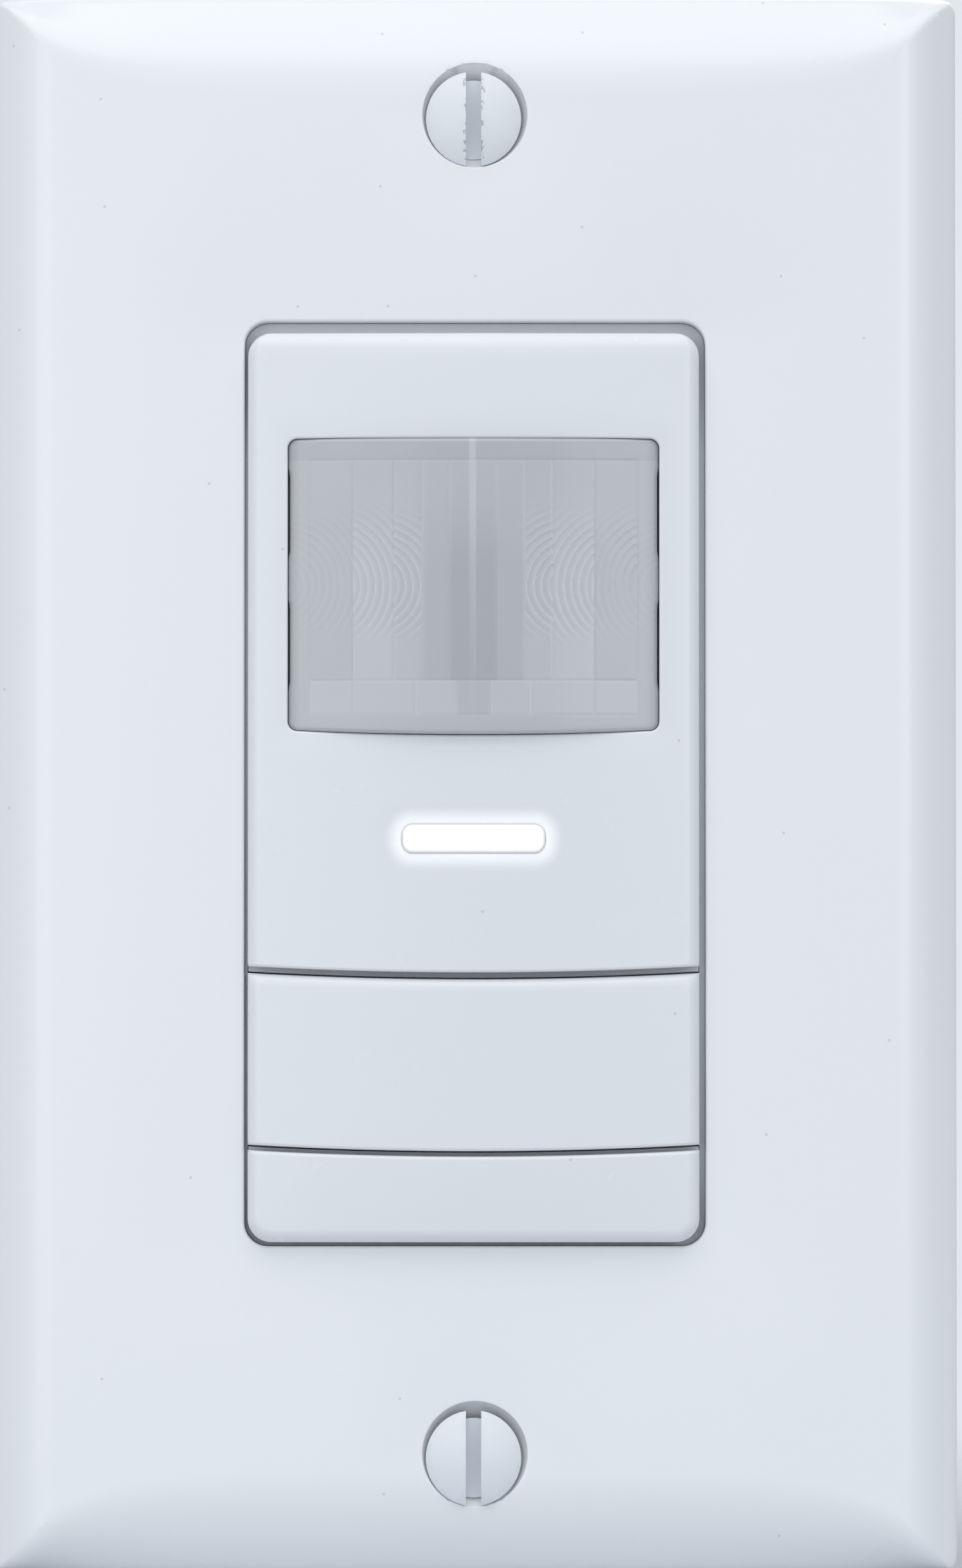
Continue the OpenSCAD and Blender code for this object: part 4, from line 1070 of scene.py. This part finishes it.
class SWITCH_OT_light_bar(Operator):
    """Build the lit bar below the lens"""

    bl_idname = "switch.light_bar"
    bl_label = "Light Bar"

    def execute(self, context):
        shape = FaceShape(context.scene)
        bar = shape.bar
        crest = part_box("light_pipe")[0].y
        border = shape.slot(bar.gap, BAR_STEP)

        def surface(x, z):
            return crest + round_drop(loop_gap(x, z, border), bar.edge_r)

        skin = Skin()
        edge = skin.walls([border], surface, bar.foot)
        skin.field(edge, rings(border, edge_rings(bar.edge_r)), surface)
        finish = Finish("light_bar")
        even = finish.noise(1.2, 2)
        rim = shape.bar_gap(finish).fade(*RIM_FADE)
        glow = finish.mix(rim, bar.glow, tinted(bar.glow, RIM_GLOW))
        finish.surface(Base_Color=finish.mix(even, tinted(bar.glow, 0.8), tinted(bar.glow, 0.85)),
                       Roughness=0.3 + 0.1 * even, Emission_Color=glow,
                       Emission_Strength=bar.strength)
        piece = skin.piece("lit_bar", finish, behind("light_pipe", bar.foot))
        settle(piece, "device", "light_pipe")
        return {"FINISHED"}


# Pieces behind the plate

# Spacing of the traces on a board in millimetres, half the share of it that a trace takes, the
# noise above which traces lie, and how much brighter they are
TRACE_PITCH, TRACE_HALF, TRACE_FROM, TRACE_TINT = 1.27, 0.13, 0.52, 1.55


def circuit(name, rgb):
    """Solder mask over fine copper traces, with tinned pads."""
    finish = Finish(name)

    def lanes(place, stretch):
        """Traces side by side across a place, in some areas only."""
        kept = finish.noise(7, 1, stretch) > TRACE_FROM
        return (abs((place / TRACE_PITCH).fract() - 0.5) < TRACE_HALF) * kept

    traces = lanes(finish.x, (3, 1, 0.4)).at_least(lanes(finish.z, (0.4, 1, 3)))
    pads = finish.specks(spacing=3.2, size=0.7, kept=0.45)
    mask = finish.mix(traces, rgb, tinted(rgb, TRACE_TINT))
    finish.surface(Base_Color=finish.mix(pads, mask, linear(196, 198, 200)), Metallic=pads * 0.9,
                   Roughness=0.32 + 0.12 * finish.noise(2, 3))
    return finish.relief(traces + pads, 0.03)


def wound(name, rgb, pitch, rough=0.35, metallic=0.6):
    """Turns of fine wire or tape along the part's width, with painted shade where the turns meet.
    """
    finish = Finish(name)
    crown = abs((finish.x / pitch).fract() - 0.5) * 2
    cloud = finish.noise(2, 3)
    base = finish.mix(cloud, tinted(rgb, 0.85), rgb)
    # Darker where the turns meet: painted shade in the grooves between them
    finish.surface(Base_Color=finish.mix(crown ** 6, base, tinted(rgb, 0.35)),
                   Metallic=metallic, Roughness=rough + 0.1 * cloud)
    return finish.relief(1 - crown * crown, 0.06)


def sleeved(name, rgb, stripe_share=0.22):
    """Sleeve of a round capacitor with a pale stripe down one side."""
    low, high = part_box("electrolytic_capacitor")
    finish = Finish(name)
    stripe = finish.x < (low.x + stripe_share * (high.x - low.x)) / MM
    cloud = finish.noise(3, 3)
    sleeve = finish.mix(cloud, rgb, linear(46, 50, 70))
    finish.surface(Base_Color=finish.mix(stripe, sleeve, linear(178, 182, 190)),
                   Roughness=0.3 + 0.1 * cloud)
    return finish.relief(finish.noise(0.5, 3), 0.004)


# Finish of each slot behind the plate: how it is made, its colour or the setting that holds it,
# and its further values. Moulded: roughness, mottle, grain and depth. Plated: roughness, stretch
# and stain. Wound: pitch, roughness and metal.
FINISHES = {
    "plated_steel": (plated, "zinc", 0.34),
    "natural_nylon": (moulded, (232, 226, 208), 0.45, 0.04),
    "green_screw": (plated, "green", 0.36, (1, 1, 1), 0.25),
    "dark_housing": (moulded, "housing", 0.5, 0.08, 0.32, 0.014),
    "terminal_brass": (plated, "brass", 0.3),
    "terminal_nickel": (plated, (204, 203, 198), 0.28),
    "black_plastic": (moulded, (34, 34, 36), 0.45, 0.08, 0.3, 0.01),
    "board_green": (circuit, "board"),
    "sensor_can": (plated, (205, 200, 188), 0.25, (1, 8, 1)),
    "sensor_filter": (moulded, (38, 42, 48), 0.12, 0.1, 2, 0.001),
    "led_body": (moulded, (238, 238, 228), 0.3, 0.03, 0.4, 0.003),
    "chip_black": (moulded, (30, 30, 32), 0.6, 0.1, 0.12, 0.006),
    "pin_gold": (plated, (226, 190, 110), 0.22, (1, 6, 1)),
    "relay_case": (moulded, (40, 54, 80), 0.35, 0.08, 0.4, 0.004),
    "coil_copper": (wound, (190, 112, 66), 0.22),
    "relay_iron": (plated, (176, 178, 180), 0.38),
    "contact_silver": (plated, (214, 190, 138), 0.26),
    "film_box": (moulded, (214, 180, 62), 0.35, 0.06, 0.6, 0.004),
    "can_sleeve": (sleeved, (38, 42, 60)),
    "varistor_blue": (moulded, (44, 86, 170), 0.25, 0.12, 0.9, 0.02),
    "winding_tape": (wound, (218, 176, 52), 2.4, 0.3, 0.0),
    "fuse_ceramic": (moulded, (208, 188, 152), 0.6, 0.1, 0.4, 0.02),
}
# Slot of each CAD node
SLOTS = {name: piece.material_slots[0].material.name for name, piece in frame["nodes"].items()}
# What the names of these materials start with, so that they differ from the slots' own
PREFIX = "switch_"


def slot_material(slot, back):
    """Material of a slot, which is made once."""
    name = PREFIX + slot
    if name not in bpy.data.materials:
        make, rgb, *values = FINISHES[slot]
        make(name, getattr(back, rgb) if isinstance(rgb, str) else linear(*rgb), *values)
    return bpy.data.materials[name]


def dress(context, nodes, soft=False):
    """Gives CAD nodes the finishes of their slots and, where asked, softened edges."""
    back = context.scene.switch_back
    for node in nodes:
        finish_node(node, slot_material(SLOTS[node], back), back.soft_edge if soft else 0)


class SWITCH_OT_strap(Operator):
    """Finish the mounting strap and its screws"""

    bl_idname = "switch.strap"
    bl_label = "Strap and Screws"

    def execute(self, context):
        dress(context, ("mounting_strap", "box_screws", "screw_inserts", "ground_screw"),
              soft=True)
        return {"FINISHED"}


class SWITCH_OT_housing(Operator):
    """Finish the rear housing and its screws"""

    bl_idname = "switch.housing"
    bl_label = "Rear Housing"

    def execute(self, context):
        dress(context, ("rear_housing", "housing_screws"), soft=True)
        return {"FINISHED"}


class SWITCH_OT_terminals(Operator):
    """Finish the wire terminals and their screws"""

    bl_idname = "switch.terminals"
    bl_label = "Terminals"

    def execute(self, context):
        dress(context, ("line_terminal", "load_terminal", "neutral_terminal", "terminal_screws",
                        "neutral_screw"), soft=True)
        return {"FINISHED"}


class SWITCH_OT_control(Operator):
    """Finish the control board, the sensors and the small switch"""

    bl_idname = "switch.control"
    bl_label = "Control Board"

    def execute(self, context):
        dress(context, ("optics_retainer", "control_board", "pir_sensor", "pir_window",
                        "daylight_sensor", "status_led", "tact_switch", "tact_plunger",
                        "microcontroller", "board_header", "header_pins"))
        return {"FINISHED"}


class SWITCH_OT_power(Operator):
    """Finish the power board and its components"""

    bl_idname = "switch.power"
    bl_label = "Power Board"

    def execute(self, context):
        dress(context, ("power_board", "board_screws", "film_capacitor", "electrolytic_capacitor",
                        "varistor", "transformer", "rectifier", "fuse_resistor"))
        return {"FINISHED"}


class SWITCH_OT_relay(Operator):
    """Finish the relay"""

    bl_idname = "switch.relay"
    bl_label = "Relay"

    def execute(self, context):
        dress(context, ("relay_base", "relay_cover", "relay_coil", "relay_yoke",
                        "relay_armature", "relay_contact"))
        return {"FINISHED"}


# Stage

# Half the side of the floor in metres, and the share of its radius at which it starts to fade
FLOOR_HALF, FLOOR_FADE = 2.0, 0.2
# Where each light stands, where it looks unless at the plate, and its width and height, in metres
LIGHTS = {
    "above": ((-0.03, -0.36, 0.567), (-0.03, -0.359, 0), (1.0, 0.72)),
    "left": ((-0.13, -0.24, 0.04), None, (0.2, 0.2)),
    "right": ((0.2, -0.45, 0.08), None, (0.2, 0.2)),
    "rear": ((0.25, 0.55, 0.5), None, (0.6, 0.6)),
}


def add_light(name, place, aim, size, watts):
    """Adds a rectangular soft light that looks at a point."""
    lamp = bpy.data.lights.new(name, "AREA")
    lamp.shape = "RECTANGLE"
    lamp.size, lamp.size_y = size
    lamp.energy = watts
    light = bpy.data.objects.new(name, lamp)
    light.location = place
    light.rotation_euler = (Vector(aim) - Vector(place)).to_track_quat("-Z", "Y").to_euler()
    bpy.context.scene.collection.objects.link(light)


class SWITCH_OT_stage(Operator):
    """Set up the floor, the surroundings, the lights and the camera"""

    bl_idname = "switch.stage"
    bl_label = "Stage"

    def execute(self, context):
        stage = context.scene.switch_stage
        floor_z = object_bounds()[0].z
        floor = bpy.data.meshes.new("floor")
        floor.from_pydata([(x * FLOOR_HALF, y * FLOOR_HALF, floor_z)
                           for x, y in ((-1, -1), (1, -1), (1, 1), (-1, 1))], [], [(0, 1, 2, 3)])
        paper = Finish("floor_paper")
        far = (paper.x ** 2 + paper.y ** 2) ** 0.5
        faded = stage.floor_r / MM
        paper.surface(Base_Color=paper.mix(paper.noise(60, 2), tinted(stage.paper, 0.98),
                                           stage.paper),
                      Roughness=0.8, Alpha=far.fade(faded, faded * FLOOR_FADE))
        add_object("floor", floor, paper)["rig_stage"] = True

        world = bpy.data.worlds.new("surroundings")
        context.scene.world = world
        world.use_nodes = True
        sky = Nodes(world.node_tree)
        seen = [sky.node("ShaderNodeLightPath", output=ray) for ray in
                ("Is Camera Ray", "Is Glossy Ray", "Is Transmission Ray")]
        shown = seen[0].at_least(seen[1]).at_least(seen[2])
        tint = sky.mix(shown, stage.ambient, stage.background)
        sky.plug(world.node_tree.nodes["Background"].inputs["Color"], tint)

        aim = Vector((stage.aim_x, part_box("wallplate")[0].y, stage.aim_z))
        for name, (place, target, size) in LIGHTS.items():
            add_light(name, place, target or aim, size, getattr(stage, name))

        optics = bpy.data.cameras.new("camera")
        optics.sensor_fit = "HORIZONTAL"
        optics.lens = optics.sensor_width * stage.distance / stage.frame_w
        camera = bpy.data.objects.new("camera", optics)
        away = Vector((0, -math.cos(stage.camera_drop), -math.sin(stage.camera_drop)))
        camera.location = aim + away * stage.distance
        camera.rotation_euler = (-away).to_track_quat("-Z", "Y").to_euler()
        context.scene.collection.objects.link(camera)
        context.scene.camera = camera
        context.scene.view_settings.view_transform = "Standard"
        return {"FINISHED"}


# Add-on

SETTINGS = {
    "switch_plate": PlateSettings, "switch_face": FaceSettings, "switch_lens": LensSettings,
    "switch_bar": BarSettings, "switch_back": BackSettings, "switch_stage": StageSettings,
}
OPERATORS = (
    SWITCH_OT_wall_plate, SWITCH_OT_plate_screws, SWITCH_OT_face, SWITCH_OT_lens,
    SWITCH_OT_light_bar, SWITCH_OT_strap, SWITCH_OT_housing, SWITCH_OT_terminals,
    SWITCH_OT_control, SWITCH_OT_power, SWITCH_OT_relay, SWITCH_OT_stage,
)


class SWITCH_PT_sidebar(Panel):
    """Lists the pieces of the switch in the 3D view's sidebar"""

    bl_label = "Motion Sensor Switch"
    bl_idname = "SWITCH_PT_sidebar"
    bl_space_type = "VIEW_3D"
    bl_region_type = "UI"
    bl_category = "Switch"

    def draw(self, context):
        for operator in OPERATORS:
            self.layout.operator(operator.bl_idname)


def register():
    for kind in (*SETTINGS.values(), *OPERATORS, SWITCH_PT_sidebar):
        bpy.utils.register_class(kind)
    for name, group in SETTINGS.items():
        setattr(bpy.types.Scene, name, PointerProperty(type=group))


def unregister():
    for name in SETTINGS:
        delattr(bpy.types.Scene, name)
    for kind in (SWITCH_PT_sidebar, *reversed(OPERATORS), *reversed(SETTINGS.values())):
        bpy.utils.unregister_class(kind)


def main():
    """Builds everything."""
    register()
    for operator in OPERATORS:
        getattr(bpy.ops.switch, operator.bl_idname.partition(".")[2])()


if __name__ == "__main__":
    main()
